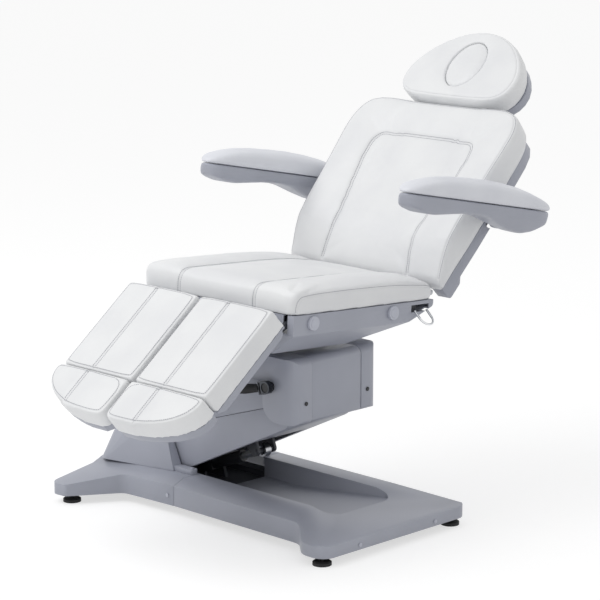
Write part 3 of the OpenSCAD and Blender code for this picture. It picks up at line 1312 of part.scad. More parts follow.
function leg_seam_side(side) = side > 0 ? leg_seam_near : leg_seam_far;
leg_seam_near = 122;
leg_seam_far = 162;
leg_base_n = leg_face - leg_t - gap;
calf_x = 4;
calf_x2 = 12;
calf_z = 12;
calf_round = 6;
calf_x3 = 40;
calf_round2 = 16;
calf_x4 = 30;
calf_round3 = 12;
calf_x5 = 6;
calf_z2 = 6;
calf_round4 = 5;
leg_shell_outline = [[leg_in[0] - calf_x, leg_base_n], [calf_x2, leg_base_n - calf_z, calf_round], [calf_x3,
    leg_base_n - leg_shell_h, calf_round2],
    [leg_l - calf_x4, leg_base_n - leg_shell_h, calf_round3], [leg_l - calf_x5, leg_base_n - calf_z2, calf_round4],
        [leg_l - calf_x5, leg_base_n]];
rail_x1 = 70;
rail_z = 230;
rail_x = [rail_x1, rail_z];
rail_r = 7;
rail_step2 = 10;
rail_n = leg_base_n - rail_step2;
calf_v = 4;
calf_w = 4;
calf_round5 = 3;
calf_v2 = 30;
calf_round6 = 14;
calf_v3 = 26;
calf_round7 = 10;
calf_w2 = 5;
calf_round8 = 4;
calf_x6 = 3;
calf_v4 = 11;
calf_round9 = 9;
calf_w3 = 11;
calf_v5 = 36;
calf_w4 = 2;
calf_v6 = 6;
calf_v7 = 8;
calf_w5 = 9;
calf_round10 = 8;
calf_step4 = 100;
calf_step5 = 12;
calf_step6 = 22;
calf_r = 2;
calf_from = 10;
calf_x7 = 1;
calf_y = 40;
calf_z3 = 140;
calf_x8 = 11;
module leg_shell(side) {
    color(plastic) on_leg() mirror([side > 0 ? 1 : 0, 0, 0]) difference() {
        union() {
            chair_slab([[calf_v, leg_base_n - calf_w, calf_round5], [calf_v2, leg_base_n - leg_shell_h, calf_round6],
                [leg_l - calf_v3, leg_base_n - leg_shell_h, calf_round7],
                [leg_l - calf_v, leg_base_n - calf_w2, calf_round8], [leg_l - calf_v, leg_base_n], [calf_v,
                leg_base_n]], leg_x0 + calf_x6, leg_x1 - calf_x6);
            for (x = leg_ear_x) chair_slab([[leg_in[0] - calf_v4, leg_in[1], calf_round9], [leg_in[0],
                leg_in[1] - calf_w3, calf_round9],
                [calf_v3, leg_base_n - leg_shell_h + calf_w], [calf_v5, leg_base_n - calf_w4], [calf_v6,
                leg_base_n - calf_w4], [leg_in[0] - calf_v7, leg_in[1] + calf_w5, calf_round10]],
                x + (x > calf_step4 ? -calf_step5 : calf_step5), x + (x > calf_step4 ? -calf_step3 : calf_step6));
        }
        translate([0, leg_in[0], leg_in[1]]) bar_x(small_pin_r - calf_r + fit, -calf_from, seat_side);
        for (x = leg_ear_x) block([x - calf_x7, -calf_y, -calf_z3], [x + calf_x8, calf_y, 0]);
        for (x = rail_x) translate([x, 0, rail_n]) bar_s(rail_r + fit, leg_l * 0.3, leg_l + cut);
    }
}
toe_step = 4;
foot_s0 = leg_l + toe_step;
foot_n = 10;
rail_to = 50;
module foot_rails(side) {
    color(chrome) on_leg() mirror([side > 0 ? 1 : 0, 0, 0])
        for (x = rail_x) translate([x, 0, rail_n]) bar_s(rail_r, leg_l * 0.34, foot_s0 + rail_to);
}
foot_rim = 9;
foot_ring_shares = [0, 0.03, 0.1, 0.22, 0.36, 0.5, 0.64, 0.76, 0.86, 0.93, 0.97, 1];
foot_out_shares = [[0, 0.95], [0.16, 0.97], [0.36, 0.945], [0.5, 0.9], [0.64, 0.83], [0.76, 0.74], [0.86, 0.62],
    [0.93, 0.5], [0.97, 0.41], [1, 0.31]];
foot_flare = -8;
function foot_out(k) = seat_side * lookup(k, foot_out_shares);
foot_base_n = foot_n - footpad_t;
foot_shell_deep = leg_base_n - foot_base_n + leg_shell_h;
toe_step2 = 24;
toe_step3 = 2;
module foot_cushion(side) {
    color(leather) on_leg() mirror([side > 0 ? 1 : 0, 0, 0]) translate([0, foot_s0, foot_base_n])
        loft([for (k = foot_ring_shares) let (s = k * footpad_l, e = min(s, footpad_l - s), q = drop(e, foot_rim) * 0.4)
            pad_ring(s, leg_x0 + q + drop(footpad_l - s, toe_step2), foot_out(k) - q, footpad_t - toe_step3 - drop(e,
                foot_rim) * 0.8,
                foot_rim, [toe_step3, foot_flare], leg_rise, [leg_seam_side(side)], seam_half, seam_deep)]);
}
toe_x1 = 24;
toe_z = 24;
function foot_plan(d) = concat([[leg_x0 + d, d], [foot_out(0) - foot_flare - d, d]],
    [for (k = foot_ring_shares) if (k > 0) [foot_out(k) - foot_flare - d, d + k * (footpad_l - 2 * d)]],
    [[leg_x0 + toe_x1 + d, footpad_l - d], [leg_x0 + d, footpad_l - toe_z]]);
toe_step4 = 5;
toe_to = 52;
module foot_shell(side) {
    color(plastic) on_leg() mirror([side > 0 ? 1 : 0, 0, 0]) difference() {
        translate([0, foot_s0, foot_base_n - gap - foot_shell_h]) linear_extrude(foot_shell_h)
            polygon(foot_plan(toe_step4));
        for (x = rail_x) translate([x, 0, rail_n]) bar_s(rail_r + fit, foot_s0 - cut, foot_s0 + toe_to);
    }
}
foot_shell_h = 22;

// The row's own origin lies in the middle of the whole object, on the floor
head_end = back_point(hr_s0 + headrest_l, hr_h0 - hr_shell_h / 2)[0];
toe_end = leg_top[0] - (foot_s0 + footpad_l) * cos(leg_angle) - foot_n * sin(leg_angle);
row_y = -(head_end + toe_end) / 2;
module in_row() { translate([0, row_y, 0]) children(); }

in_row() base_frame();
in_row() front_cover();
in_row() rear_cover();
in_row() column_posts();
in_row() column_cover();
in_row() base_pivot_pins();
in_row() levelling_feet();
in_row() base_screws();
in_row() mains_inlet();
in_row() lift_arm();
in_row() arm_lower_cover();
in_row() arm_upper_cover();
in_row() parallel_link();
in_row() lift_motor();
in_row() lift_rod();
in_row() head_frame();
in_row() head_pivot_pins();
in_row() head_cover_near();
in_row() head_cover_far();
in_row() head_end_panel();
in_row() head_screws();
in_row() bearing_race();
in_row() lock_hub();
in_row() lock_ring();
in_row() lock_grip();
in_row() turntable();
in_row() tilt_shaft();
in_row() seat_frame();
in_row() seat_shell();
in_row() seat_cushion();
in_row() side_caps();
in_row() handset_hook();
in_row() seat_hinge_pins();
in_row() control_box();
in_row() back_motor();
in_row() tilt_motor();
in_row() tilt_rod();
in_row() back_rod();
in_row() back_frame();
in_row() back_shell();
in_row() back_cushion();
in_row() armrest_shell(1);  // armrest_shell_near
in_row() armrest_pad(1);  // armrest_pad_near
in_row() armrest_shell(-1);  // armrest_shell_far
in_row() armrest_pad(-1);  // armrest_pad_far
in_row() headrest_posts();
in_row() headrest_shell();
in_row() headrest_cushion();
in_row() face_plug();
in_row() leg_shell(1);  // leg_shell_near
in_row() leg_cushion(1);  // leg_cushion_near
in_row() leg_shell(-1);  // leg_shell_far
in_row() leg_cushion(-1);  // leg_cushion_far
in_row() foot_rails(1);  // foot_rails_near
in_row() foot_shell(1);  // foot_shell_near
in_row() foot_cushion(1);  // foot_cushion_near
in_row() foot_rails(-1);  // foot_rails_far
in_row() foot_shell(-1);  // foot_shell_far
in_row() foot_cushion(-1);  // foot_cushion_far
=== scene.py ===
import json
import math
import time

import bpy
from mathutils import Matrix, Vector
from mathutils.bvhtree import BVHTree
from mathutils.kdtree import KDTree


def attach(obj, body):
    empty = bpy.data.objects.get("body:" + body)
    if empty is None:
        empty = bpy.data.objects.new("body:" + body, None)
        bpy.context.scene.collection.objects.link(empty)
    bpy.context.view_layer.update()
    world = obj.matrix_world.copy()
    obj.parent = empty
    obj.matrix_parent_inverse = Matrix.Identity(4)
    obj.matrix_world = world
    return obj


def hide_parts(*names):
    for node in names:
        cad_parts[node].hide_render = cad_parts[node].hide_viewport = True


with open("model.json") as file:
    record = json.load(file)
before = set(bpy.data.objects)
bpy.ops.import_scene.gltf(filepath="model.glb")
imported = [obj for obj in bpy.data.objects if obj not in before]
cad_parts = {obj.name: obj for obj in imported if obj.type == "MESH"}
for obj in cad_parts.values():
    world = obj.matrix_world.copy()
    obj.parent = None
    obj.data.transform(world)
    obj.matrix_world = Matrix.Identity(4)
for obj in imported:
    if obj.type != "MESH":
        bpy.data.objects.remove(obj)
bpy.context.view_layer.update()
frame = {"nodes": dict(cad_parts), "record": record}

mm = 0.001         # in metres
perMetre = 1000    # millimetres
nodes = frame["nodes"]
bodyOfNode = {n: b for b, members in frame["record"]["behaviour"]["bodies"].items() for n in members}
startTime = time.time()


def report(words):
    print(f"{time.time() - startTime:6.1f} s  {words}")


report("frame loaded")

# camera, at the photograph's viewing angle

cameraView = {"place": (4.65506, -4.65774, 1.96080), "tilt": 78.268, "turn": 44.919, "lens": 141.84,
              "sensor": 36, "reach": 50}

bpy.ops.object.select_all(action="DESELECT")
bpy.ops.object.camera_add(location=cameraView["place"],
                          rotation=(math.radians(cameraView["tilt"]), 0, math.radians(cameraView["turn"])))
camera = bpy.context.object
camera.data.lens = cameraView["lens"]
camera.data.sensor_width = cameraView["sensor"]
camera.data.clip_end = cameraView["reach"]
bpy.context.scene.camera = camera
bpy.context.scene.view_settings.view_transform = "Standard"


# colours and finishes

def hexColour(code):   # sRGB hex to linear, with alpha
    parts = [int(code[i:i + 2], 16) / 255 for i in (1, 3, 5)]
    return tuple(c / 12.92 if c <= 0.04045 else ((c + 0.055) / 1.055) ** 2.4 for c in parts) + (1.0,)


def addNode(tree, kind, settings=None, links=None):
    made = tree.nodes.new(kind)
    for key, value in (settings or {}).items():
        if hasattr(made, key):
            setattr(made, key, value)
        else:
            made.inputs[key].default_value = value
    for key, source in (links or {}).items():
        tree.links.new(source, made.inputs[key])
    return made


# where the two colours of a finish lie on its soft patches
rampStops = (0.35, 0.65)


def makeFinish(name, look):
    material = bpy.data.materials.new(name)
    material.use_nodes = True
    tree = material.node_tree
    shader = tree.nodes["Principled BSDF"]
    for socket, value in look["shader"].items():
        shader.inputs[socket].default_value = value
    place = addNode(tree, "ShaderNodeTexCoord")
    patch = addNode(tree, "ShaderNodeMapping", {"Scale": (perMetre / look["patch"],) * 3},
                    {"Vector": place.outputs["Object"]})   # a pattern's unit is then its size in mm
    cloud = addNode(tree, "ShaderNodeTexNoise", {"Scale": 1.0, "Detail": 3.0},
                    {"Vector": patch.outputs["Vector"]})
    ramp = addNode(tree, "ShaderNodeValToRGB", {}, {"Fac": cloud.outputs["Fac"]})
    for stop, spot, code in zip(ramp.color_ramp.elements, rampStops, look["colours"]):
        stop.position, stop.color = spot, hexColour(code)
    tree.links.new(ramp.outputs["Color"], shader.inputs["Base Color"])
    gloss = addNode(tree, "ShaderNodeMapRange", {"To Min": look["rough"][0], "To Max": look["rough"][1]},
                    {"Value": cloud.outputs["Fac"]})
    tree.links.new(gloss.outputs["Result"], shader.inputs["Roughness"])
    under = None
    for grain in look["grain"]:   # each relief lies on the one before
        spot = addNode(tree, "ShaderNodeMapping", {"Scale": (perMetre / grain["size"],) * 3},
                       {"Vector": place.outputs["Object"]})
        relief = addNode(tree, grain["node"], grain["settings"], {"Vector": spot.outputs["Vector"]})
        links = {"Height": relief.outputs[grain["from"]]}
        if under:
            links["Normal"] = under.outputs["Normal"]
        under = addNode(tree, "ShaderNodeBump",
                        {"Distance": grain["depth"] * mm, "Strength": grain["strength"]}, links)
    tree.links.new(under.outputs["Normal"], shader.inputs["Normal"])
    return material


# reliefs; each size and depth is in mm
# pebbled print of a coated hide: real grain about 0.8 mm, drawn twice as coarse so that it shows
pebble = {"node": "ShaderNodeTexVoronoi", "from": "Distance",
          "settings": {"feature": "SMOOTH_F1", "Scale": 1.0, "Smoothness": 0.6},
          "size": 1.6, "depth": 0.05, "strength": 0.5}
# soft pulls in the cover between its seams, about 36 mm apart
pull = {"node": "ShaderNodeTexNoise", "from": "Fac",
        "settings": {"Scale": 1.0, "Detail": 2.0, "Distortion": 0.5},
        "size": 36, "depth": 1.1, "strength": 0.35}
# plain grain, smooth or ragged by how many octaves of noise it has
grain1 = {"node": "ShaderNodeTexNoise", "from": "Fac", "settings": {"Scale": 1.0, "Detail": 1.0}}
grain2 = {**grain1, "settings": {"Scale": 1.0, "Detail": 2.0}}
grain3 = {**grain1, "settings": {"Scale": 1.0, "Detail": 3.0}}

# coated upholstery leather (PU), embossed: a soft wide sheen, slight dents
whiteLeather = makeFinish("coated upholstery leather, white", {
    "colours": ("#E3E4E6", "#E9EAEB"), "patch": 140, "rough": (0.36, 0.48), "shader": {"IOR": 1.5},
    "grain": (pebble, pull)})
# integral skin foam of an armrest, moulded: smoother and cooler than the leather
armLeather = makeFinish("integral skin foam, pale grey", {
    "colours": ("#DBDDE4", "#E1E3E9"), "patch": 160, "rough": (0.38, 0.50), "shader": {"IOR": 1.5},
    "grain": ({**grain2, "size": 1.4, "depth": 0.04, "strength": 0.5},)})
# injection-moulded ABS with a spark-eroded texture: even colour, a dull wide highlight
greyPlastic = makeFinish("moulded ABS, cool grey", {
    "colours": ("#A1A4AF", "#A8ABB6"), "patch": 220, "rough": (0.34, 0.44), "shader": {"IOR": 1.53},
    "grain": ({**grain2, "size": 0.9, "depth": 0.03, "strength": 0.6},
              {**grain2, "size": 60, "depth": 0.25, "strength": 0.2})})
lightPlastic = makeFinish("moulded ABS, pale grey caps", {
    "colours": ("#B7BAC6", "#BDC0CB"), "patch": 30, "rough": (0.34, 0.42), "shader": {"IOR": 1.53},
    "grain": ({**grain2, "size": 0.9, "depth": 0.02, "strength": 0.5},)})
# glass-filled nylon, moulded: near black with a faint mottle
darkPlastic = makeFinish("moulded nylon, black", {
    "colours": ("#17181B", "#202226"), "patch": 70, "rough": (0.36, 0.46), "shader": {"IOR": 1.53},
    "grain": ({**grain2, "size": 0.8, "depth": 0.03, "strength": 0.6},)})
# powder coat on welded steel: orange peel about 2.5 mm across
framePaint = makeFinish("powder coat on steel, graphite", {
    "colours": ("#3A3C42", "#45474E"), "patch": 90, "rough": (0.40, 0.53), "shader": {"IOR": 1.5},
    "grain": ({**grain1, "size": 2.5, "depth": 0.12, "strength": 0.5},)})
# turned steel: a fine grain of tool marks, drawn at 0.6 mm so that it shows, and faint smudges in the shine
brightSteel = makeFinish("turned steel", {
    "colours": ("#B9BBBF", "#C6C8CB"), "patch": 60, "rough": (0.24, 0.36), "shader": {"Metallic": 1.0},
    "grain": ({**grain1, "size": 0.6, "depth": 0.01, "strength": 0.4},)})
# chrome plate, polished: mirrors the white room, with a trace of haze
chrome = makeFinish("chrome plate, polished", {
    "colours": ("#D8DADD", "#E4E5E7"), "patch": 60, "rough": (0.06, 0.16), "shader": {"Metallic": 1.0},
    "grain": ({**grain1, "size": 3.0, "depth": 0.01, "strength": 0.3},)})
# black chrome on the lever's ring: a dark mirror
darkChrome = makeFinish("black chrome plate", {
    "colours": ("#3E4044", "#4E5055"), "patch": 30, "rough": (0.10, 0.20), "shader": {"Metallic": 1.0},
    "grain": ({**grain1, "size": 3.0, "depth": 0.01, "strength": 0.3},)})
# moulded rubber: matt and faintly mottled
blackRubber = makeFinish("moulded rubber, black", {
    "colours": ("#121214", "#1A1A1C"), "patch": 30, "rough": (0.66, 0.77), "shader": {"IOR": 1.52},
    "grain": ({**grain3, "size": 1.2, "depth": 0.06, "strength": 0.7},)})
# bonded polyester sewing thread: soft, twisted about 1 mm a turn; its grey, well darker than the leather, is
# painted shade standing for the shadow in the seam groove
threadWithPaintedShade = makeFinish("bonded polyester thread, grey as painted seam shade", {
    "colours": ("#94969D", "#A4A6AD"), "patch": 20, "rough": (0.52, 0.66), "shader": {"IOR": 1.55},
    "grain": ({**grain2, "size": 1.0, "depth": 0.1, "strength": 0.7},)})

slotFinish = {"grey_plastic": greyPlastic, "frame_paint": framePaint, "bright_steel": brightSteel,
              "chrome": chrome, "black_rubber": blackRubber, "black_plastic": darkPlastic}
report("finishes made")


# carried-over nodes and the plastic covers

weldReach = 0.00002   # metres within which the corners of loose triangles are one point
sharpAngle = {"node": 30, "cover": 32, "thread": 60}   # degrees from which an edge is drawn sharp
# degrees: triangles that meet flatter than the first are one face, edges sharper than the second are rounded
coverCut = {"flat": 1.2, "edge": 28, "segments": 2}


def selectOnly(piece):
    bpy.ops.object.select_all(action="DESELECT")
    piece.select_set(True)
    bpy.context.view_layer.objects.active = piece


def applyAll(piece):
    selectOnly(piece)
    for modifier in list(piece.modifiers):
        bpy.ops.object.modifier_apply(modifier=modifier.name)


def copyOfNode(node, name):   # a node's mesh with its loose triangles joined, as a new object
    piece = bpy.data.objects.new(name, nodes[node].data.copy())
    bpy.context.scene.collection.objects.link(piece)
    selectOnly(piece)
    bpy.ops.object.mode_set(mode="EDIT")
    bpy.ops.mesh.select_all(action="SELECT")
    bpy.ops.mesh.remove_doubles(threshold=weldReach)
    bpy.ops.object.mode_set(mode="OBJECT")
    return piece


def settle(piece, body, slot, material, *standsFor):   # finish and body of a new piece, and hides the nodes it stands for
    piece.data.materials.clear()
    piece.data.materials.append(material)
    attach(piece, body)
    if standsFor:
        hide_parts(*standsFor)


# the radius that a mould leaves along the edges of each cover, in mm
coverEdges = {"front_cover": 4.0, "rear_cover": 4.0, "column_cover": 4.0, "arm_lower_cover": 2.5,
              "arm_upper_cover": 2.5, "head_cover_near": 2.0, "head_cover_far": 2.0, "head_end_panel": 2.0,
              "seat_shell": 1.2, "back_shell": 1.2, "headrest_shell": 3.0, "leg_shell_near": 2.0,
              "leg_shell_far": 2.0, "foot_shell_near": 3.0, "foot_shell_far": 3.0,
              "side_caps": 0.8, "base_screws": 0.8, "head_screws": 0.8}
coverFinish = {"side_caps": lightPlastic, "base_screws": lightPlastic, "head_screws": darkPlastic}


def roundedCover(node, radius, material):
    piece = copyOfNode(node, node + "_moulding")
    bpy.ops.object.mode_set(mode="EDIT")
    bpy.ops.mesh.select_all(action="SELECT")
    bpy.ops.mesh.dissolve_limited(angle_limit=math.radians(coverCut["flat"]))
    bpy.ops.object.mode_set(mode="OBJECT")
    edge = piece.modifiers.new("edge", "BEVEL")
    edge.width, edge.segments = radius * mm, coverCut["segments"]
    edge.limit_method, edge.angle_limit = "ANGLE", math.radians(coverCut["edge"])
    applyAll(piece)
    bpy.ops.object.shade_smooth_by_angle(angle=math.radians(sharpAngle["cover"]))
    settle(piece, bodyOfNode[node], "grey_plastic", material, node)


# the slot of each node; those not listed are grey plastic, or have a new piece with its own finish
membersOf = {
    "chrome": ["handset_hook", "headrest_posts", "foot_rails_near", "foot_rails_far", "lock_ring"],
    "bright_steel": ["base_pivot_pins", "head_pivot_pins", "lift_rod", "tilt_rod", "back_rod", "tilt_shaft",
                     "seat_hinge_pins", "bearing_race", "turntable"],
    "frame_paint": ["base_frame", "column_posts", "lift_arm", "parallel_link", "head_frame", "seat_frame",
                    "back_frame"],
    "black_plastic": ["lift_motor", "tilt_motor", "back_motor", "control_box", "mains_inlet", "lock_hub"],
    "black_rubber": ["levelling_feet", "lock_grip"],
}
nodeSlot = {node: slotName for slotName, members in membersOf.items() for node in members}
for node, piece in nodes.items():
    slotName = nodeSlot.get(node, "grey_plastic")
    piece.data.materials.clear()
    piece.data.materials.append(darkChrome if node == "lock_ring" else slotFinish[slotName])
    selectOnly(piece)
    bpy.ops.object.shade_smooth_by_angle(angle=math.radians(sharpAngle["node"]))
for node, radius in coverEdges.items():
    roundedCover(node, radius, coverFinish.get(node, greyPlastic))


def localFrame(at, turn, forward=1):   # millimetres across, along and out of a cushion's base, to metres
    return (Matrix.Translation(Vector(at) * mm) @ Matrix.Rotation(math.radians(turn), 4, "X")
            @ Matrix.Diagonal((mm, mm * forward, mm, 1)))


# where each cushion's base line starts on the chair, in mm, and how far it leans, in degrees
rowY = -115.979
swivelX = 64.38
frames = {
    "seat": localFrame((swivelX, rowY, 640.97), -3.5),
    "back": localFrame((swivelX, rowY + 338, 636.97), 45),
    "leg": localFrame((swivelX, rowY - 320, 680.97), 38.2, -1),
    "armrest": localFrame((swivelX, rowY + 59.51, 961.65), -11.5),
}

# armrest shells: blow-moulded, with no hard edge anywhere, so the solid's corners are melted round
armShell = {"voxel": 3.0, "rounds": 70, "factor": 0.5, "rimStart": 2, "rim": 9}

for side in ("near", "far"):
    node = f"armrest_shell_{side}"
    piece = copyOfNode(node, node + "_moulding")
    remesh = piece.modifiers.new("remesh", "REMESH")
    remesh.mode, remesh.voxel_size = "VOXEL", armShell["voxel"] * mm
    smooth = piece.modifiers.new("smooth", "SMOOTH")
    smooth.factor, smooth.iterations = armShell["factor"], armShell["rounds"]
    smooth.vertex_group = "melted"
    selectOnly(piece)
    bpy.ops.object.modifier_apply(modifier="remesh")
    slope = frames["armrest"].inverted()
    melted = piece.vertex_groups.new(name="melted")
    for vertex in piece.data.vertices:   # the rim under the pad keeps its place
        depth = -(slope @ vertex.co).z
        weight = min(1.0, max(0.0, (depth - armShell["rimStart"]) / armShell["rim"]))
        melted.add([vertex.index], weight, "REPLACE")
    applyAll(piece)
    piece.vertex_groups.clear()
    bpy.ops.object.shade_smooth()
    settle(piece, bodyOfNode[node], "grey_plastic", greyPlastic, node)
report("covers rounded")


# floor and lamps

studio = {"ambient": 0.69, "key": 82, "keyAt": (-1.6, -2.4, 4.4), "keySize": 3.0, "keyAim": (0, 0, 0.6),
          "floor": "#F7F7F7", "floorSize": 60, "floorRough": 0.9, "floorShare": 0.5, "floorGlow": 1.26}
white = (1, 1, 1, 1)

bpy.ops.object.select_all(action="DESELECT")
bpy.ops.mesh.primitive_plane_add(size=studio["floorSize"], location=(0, 0, 0))
floor = bpy.context.object
floor.name = "studio_floor"
paper = bpy.data.materials.new("studio paper, matt white")   # rolled paper: no shine, keeps the shadow
paper.use_nodes = True
tree = paper.node_tree
sheet = tree.nodes["Principled BSDF"]
sheet.inputs["Base Color"].default_value = hexColour(studio["floor"])
sheet.inputs["Roughness"].default_value = studio["floorRough"]
sheet.inputs["Specular IOR Level"].default_value = 0.0
# the camera and mirror rays see it half as an even bright sheet, so that it stays pale far out
glow = addNode(tree, "ShaderNodeEmission", {"Strength": studio["floorGlow"]})
sight = addNode(tree, "ShaderNodeLightPath")
seen = addNode(tree, "ShaderNodeMath", {"operation": "MAXIMUM"})
tree.links.new(sight.outputs["Is Camera Ray"], seen.inputs[0])
tree.links.new(sight.outputs["Is Glossy Ray"], seen.inputs[1])
share = addNode(tree, "ShaderNodeMath", {"operation": "MULTIPLY"})
share.inputs[1].default_value = studio["floorShare"]
tree.links.new(seen.outputs[0], share.inputs[0])
blend = addNode(tree, "ShaderNodeMixShader", {}, {"Fac": share.outputs[0]})
tree.links.new(sheet.outputs[0], blend.inputs[1])
tree.links.new(glow.outputs[0], blend.inputs[2])
tree.links.new(blend.outputs[0], tree.nodes["Material Output"].inputs["Surface"])
floor.data.materials.append(paper)

# the room lights at its own strength, but the camera, mirrors and glass see it plain white
room = bpy.data.worlds.new("studio")
bpy.context.scene.world = room
room.use_nodes = True
tree = room.node_tree
fill = tree.nodes["Background"]
fill.inputs["Color"].default_value = white
fill.inputs["Strength"].default_value = studio["ambient"]
bright = addNode(tree, "ShaderNodeBackground", {"Color": white, "Strength": 1.0})
sight = addNode(tree, "ShaderNodeLightPath")
seen = addNode(tree, "ShaderNodeMath", {"operation": "MAXIMUM"})
tree.links.new(sight.outputs["Is Camera Ray"], seen.inputs[0])
tree.links.new(sight.outputs["Is Glossy Ray"], seen.inputs[1])
seenMore = addNode(tree, "ShaderNodeMath", {"operation": "MAXIMUM"})
tree.links.new(seen.outputs[0], seenMore.inputs[0])
tree.links.new(sight.outputs["Is Transmission Ray"], seenMore.inputs[1])
blend = addNode(tree, "ShaderNodeMixShader", {}, {"Fac": seenMore.outputs[0]})
tree.links.new(fill.outputs[0], blend.inputs[1])
tree.links.new(bright.outputs[0], blend.inputs[2])
tree.links.new(blend.outputs[0], tree.nodes["World Output"].inputs["Surface"])

bpy.ops.object.light_add(type="AREA", location=studio["keyAt"])
key = bpy.context.object
key.name = "key_lamp"
key.data.energy = studio["key"]
key.data.size = studio["keySize"]
key.rotation_euler = (Vector(studio["keyAim"]) - Vector(studio["keyAt"])).to_track_quat("-Z", "Y").to_euler()
report("studio set")


# cushions; lengths in mm

cutShare = 0.25          # how far from each end a corner is cut when a line is smoothed
seamStep = 2.0           # between the points of a seam
farAway = (90, 90, 90)   # metres: keeps a search from being empty when a cushion has no seams
smoothFactor = 0.5       # of the corners that a remesh leaves, in each round
# a cushion's cover as cloth, and the steps in which it settles
clothLook = {"quality": 4, "tension": 22, "shear": 10, "bending": 4, "steps": 20}
# how far from a seam its faces are halved, and how far it presses; a crease is as wide as twice "crease"
press = {"finer": (9, 5), "reach": 20, "crease": 2.2, "softShare": 0.7, "sharpShare": 0.3}
# one stitch, modelled once and copied along every seam, its thickness given as a radius
stitchSize = {"length": 4.6, "pitch": 6.0, "half": 0.75, "sides": 6, "tip": 0.4, "tipAngle": 70}
# a thread's line is drawn from every second point of a seam and heads along three more points each way
sewing = {"every": 2, "ahead": 3, "apart": 1.5, "lift": 0.15, "least": 1e-9}


def lookup(table, k):   # the value at k in a table of (place, value), straight between its rows
    if k <= table[0][0]:
        return table[0][1]
    for (a, b), (c, d) in zip(table, table[1:]):
        if k <= c:
            return b + (d - b) * (k - a) / (c - a)
    return table[-1][1]


def resample(points, step):   # evenly spaced points along a line
    points = [Vector(p) for p in points]
    out, left = [points[0].copy()], step
    for a, b in zip(points, points[1:]):
        length = (b - a).length
        while length >= left and length > 0:
            out.append(a + (b - a) * (left / length))
            left += step
        left -= length
    return out


def smoothLine(points, closed):   # rounds the corners of a line by cutting them twice
    points = [Vector(p) for p in points]
    for _ in range(2):
        pairs = list(zip(points, points[1:] + points[:1]))
        if not closed:
            pairs.pop()
        cut = [spot for a, b in pairs for spot in (a * (1 - cutShare) + b * cutShare,
                                                   a * cutShare + b * (1 - cutShare))]
        points = cut if closed else [points[0]] + cut + [points[-1]]
    return points + [points[0].copy()] if closed else points


def surfaceTree(piece):   # finds the nearest point of the piece's surface
    piece.data.update()
    return BVHTree.FromPolygons([v.co.copy() for v in piece.data.vertices],
                                [tuple(p.vertices) for p in piece.data.polygons])


def seamPaths(seams, tree, matrix):   # each seam's points on the cushion, as (place, normal)
    paths = []
    for seam in seams:
        line = resample(smoothLine(seam["points"], seam["closed"]), seamStep)
        paths.append((seam, [tree.find_nearest(matrix @ p)[:2] for p in line]))
    return paths


def searchOf(paths):   # finds the nearest point of all the seams
    spots = [place for _, path in paths for place, _ in path]
    search = KDTree(len(spots) + 1)
    for i, place in enumerate(spots):
        search.insert(place, i)
    search.insert(farAway, len(spots))
    search.balance()
    return search


def swellCloth(piece, pinned, pressure, cap):   # cloth with pressure inside and no gravity, its result capped
    before = [v.co.copy() for v in piece.data.vertices]
    piece.vertex_groups.new(name="sewn").add(pinned, 1.0, "REPLACE")
    cloth = piece.modifiers.new("cloth", "CLOTH")
    cloth.settings.vertex_group_mass = "sewn"
    cloth.settings.use_pressure = True
    cloth.settings.uniform_pressure_force = pressure
    cloth.settings.quality = clothLook["quality"]
    cloth.settings.tension_stiffness = cloth.settings.compression_stiffness = clothLook["tension"]
    cloth.settings.shear_stiffness = clothLook["shear"]
    cloth.settings.bending_stiffness = clothLook["bending"]
    cloth.settings.effector_weights.gravity = 0
    cloth.point_cache.frame_start, cloth.point_cache.frame_end = 1, clothLook["steps"]
    for step in range(1, clothLook["steps"] + 1):
        bpy.context.scene.frame_set(step)
    settled = piece.evaluated_get(bpy.context.evaluated_depsgraph_get())
    after = [v.co.copy() for v in settled.data.vertices]
    piece.modifiers.remove(cloth)
    bpy.context.scene.frame_set(1)
    for vertex, a, b in zip(piece.data.vertices, before, after):
        move = b - a
        if move.length > cap * mm:
            move *= cap * mm / move.length
        vertex.co = a + move
    piece.vertex_groups.clear()


def selectVerts(piece, test):   # leaves the piece in edit mode with those vertices selected
    selectOnly(piece)
    bpy.ops.object.mode_set(mode="EDIT")
    bpy.ops.mesh.select_mode(type="VERT")
    bpy.ops.mesh.select_all(action="DESELECT")
    bpy.ops.object.mode_set(mode="OBJECT")
    for vertex in piece.data.vertices:
        vertex.select = test(vertex.co)
    bpy.ops.object.mode_set(mode="EDIT")


def pressSeams(piece, paths):   # a soft valley under each seam, with a sharp crease at its bottom
    search = searchOf(paths)
    entries = [(normal, seam) for seam, path in paths for _, normal in path]
    for reach in press["finer"]:   # the faces near a seam are halved first, twice where it creases
        selectVerts(piece, lambda co: search.find(co)[2] < reach * mm)
        bpy.ops.mesh.subdivide(number_cuts=1)
        bpy.ops.object.mode_set(mode="OBJECT")
    for vertex in piece.data.vertices:
        _, i, distance = search.find(vertex.co)
        if distance < press["reach"] * mm:
            normal, seam = entries[i]
            soft = math.exp(-(distance / (seam["wide"] * mm)) ** 2)
            sharp = max(0.0, 1 - distance / (press["crease"] * mm))
            share = press["softShare"] * soft + press["sharpShare"] * sharp
            vertex.co -= normal * (seam["deep"] * mm) * share


bpy.ops.object.select_all(action="DESELECT")
bpy.ops.mesh.primitive_cylinder_add(vertices=stitchSize["sides"], radius=stitchSize["half"] * mm,
                                    depth=stitchSize["length"] * mm, rotation=(0, math.pi / 2, 0),
                                    location=(stitchSize["pitch"] / 2 * mm, 0, 0))
stitch = bpy.context.object
stitch.name = "stitch"
bpy.ops.object.transform_apply(location=True, rotation=True)
tips = stitch.modifiers.new("tips", "BEVEL")
tips.width, tips.segments = stitchSize["tip"] * mm, 1
tips.limit_method, tips.angle_limit = "ANGLE", math.radians(stitchSize["tipAngle"])
applyAll(stitch)


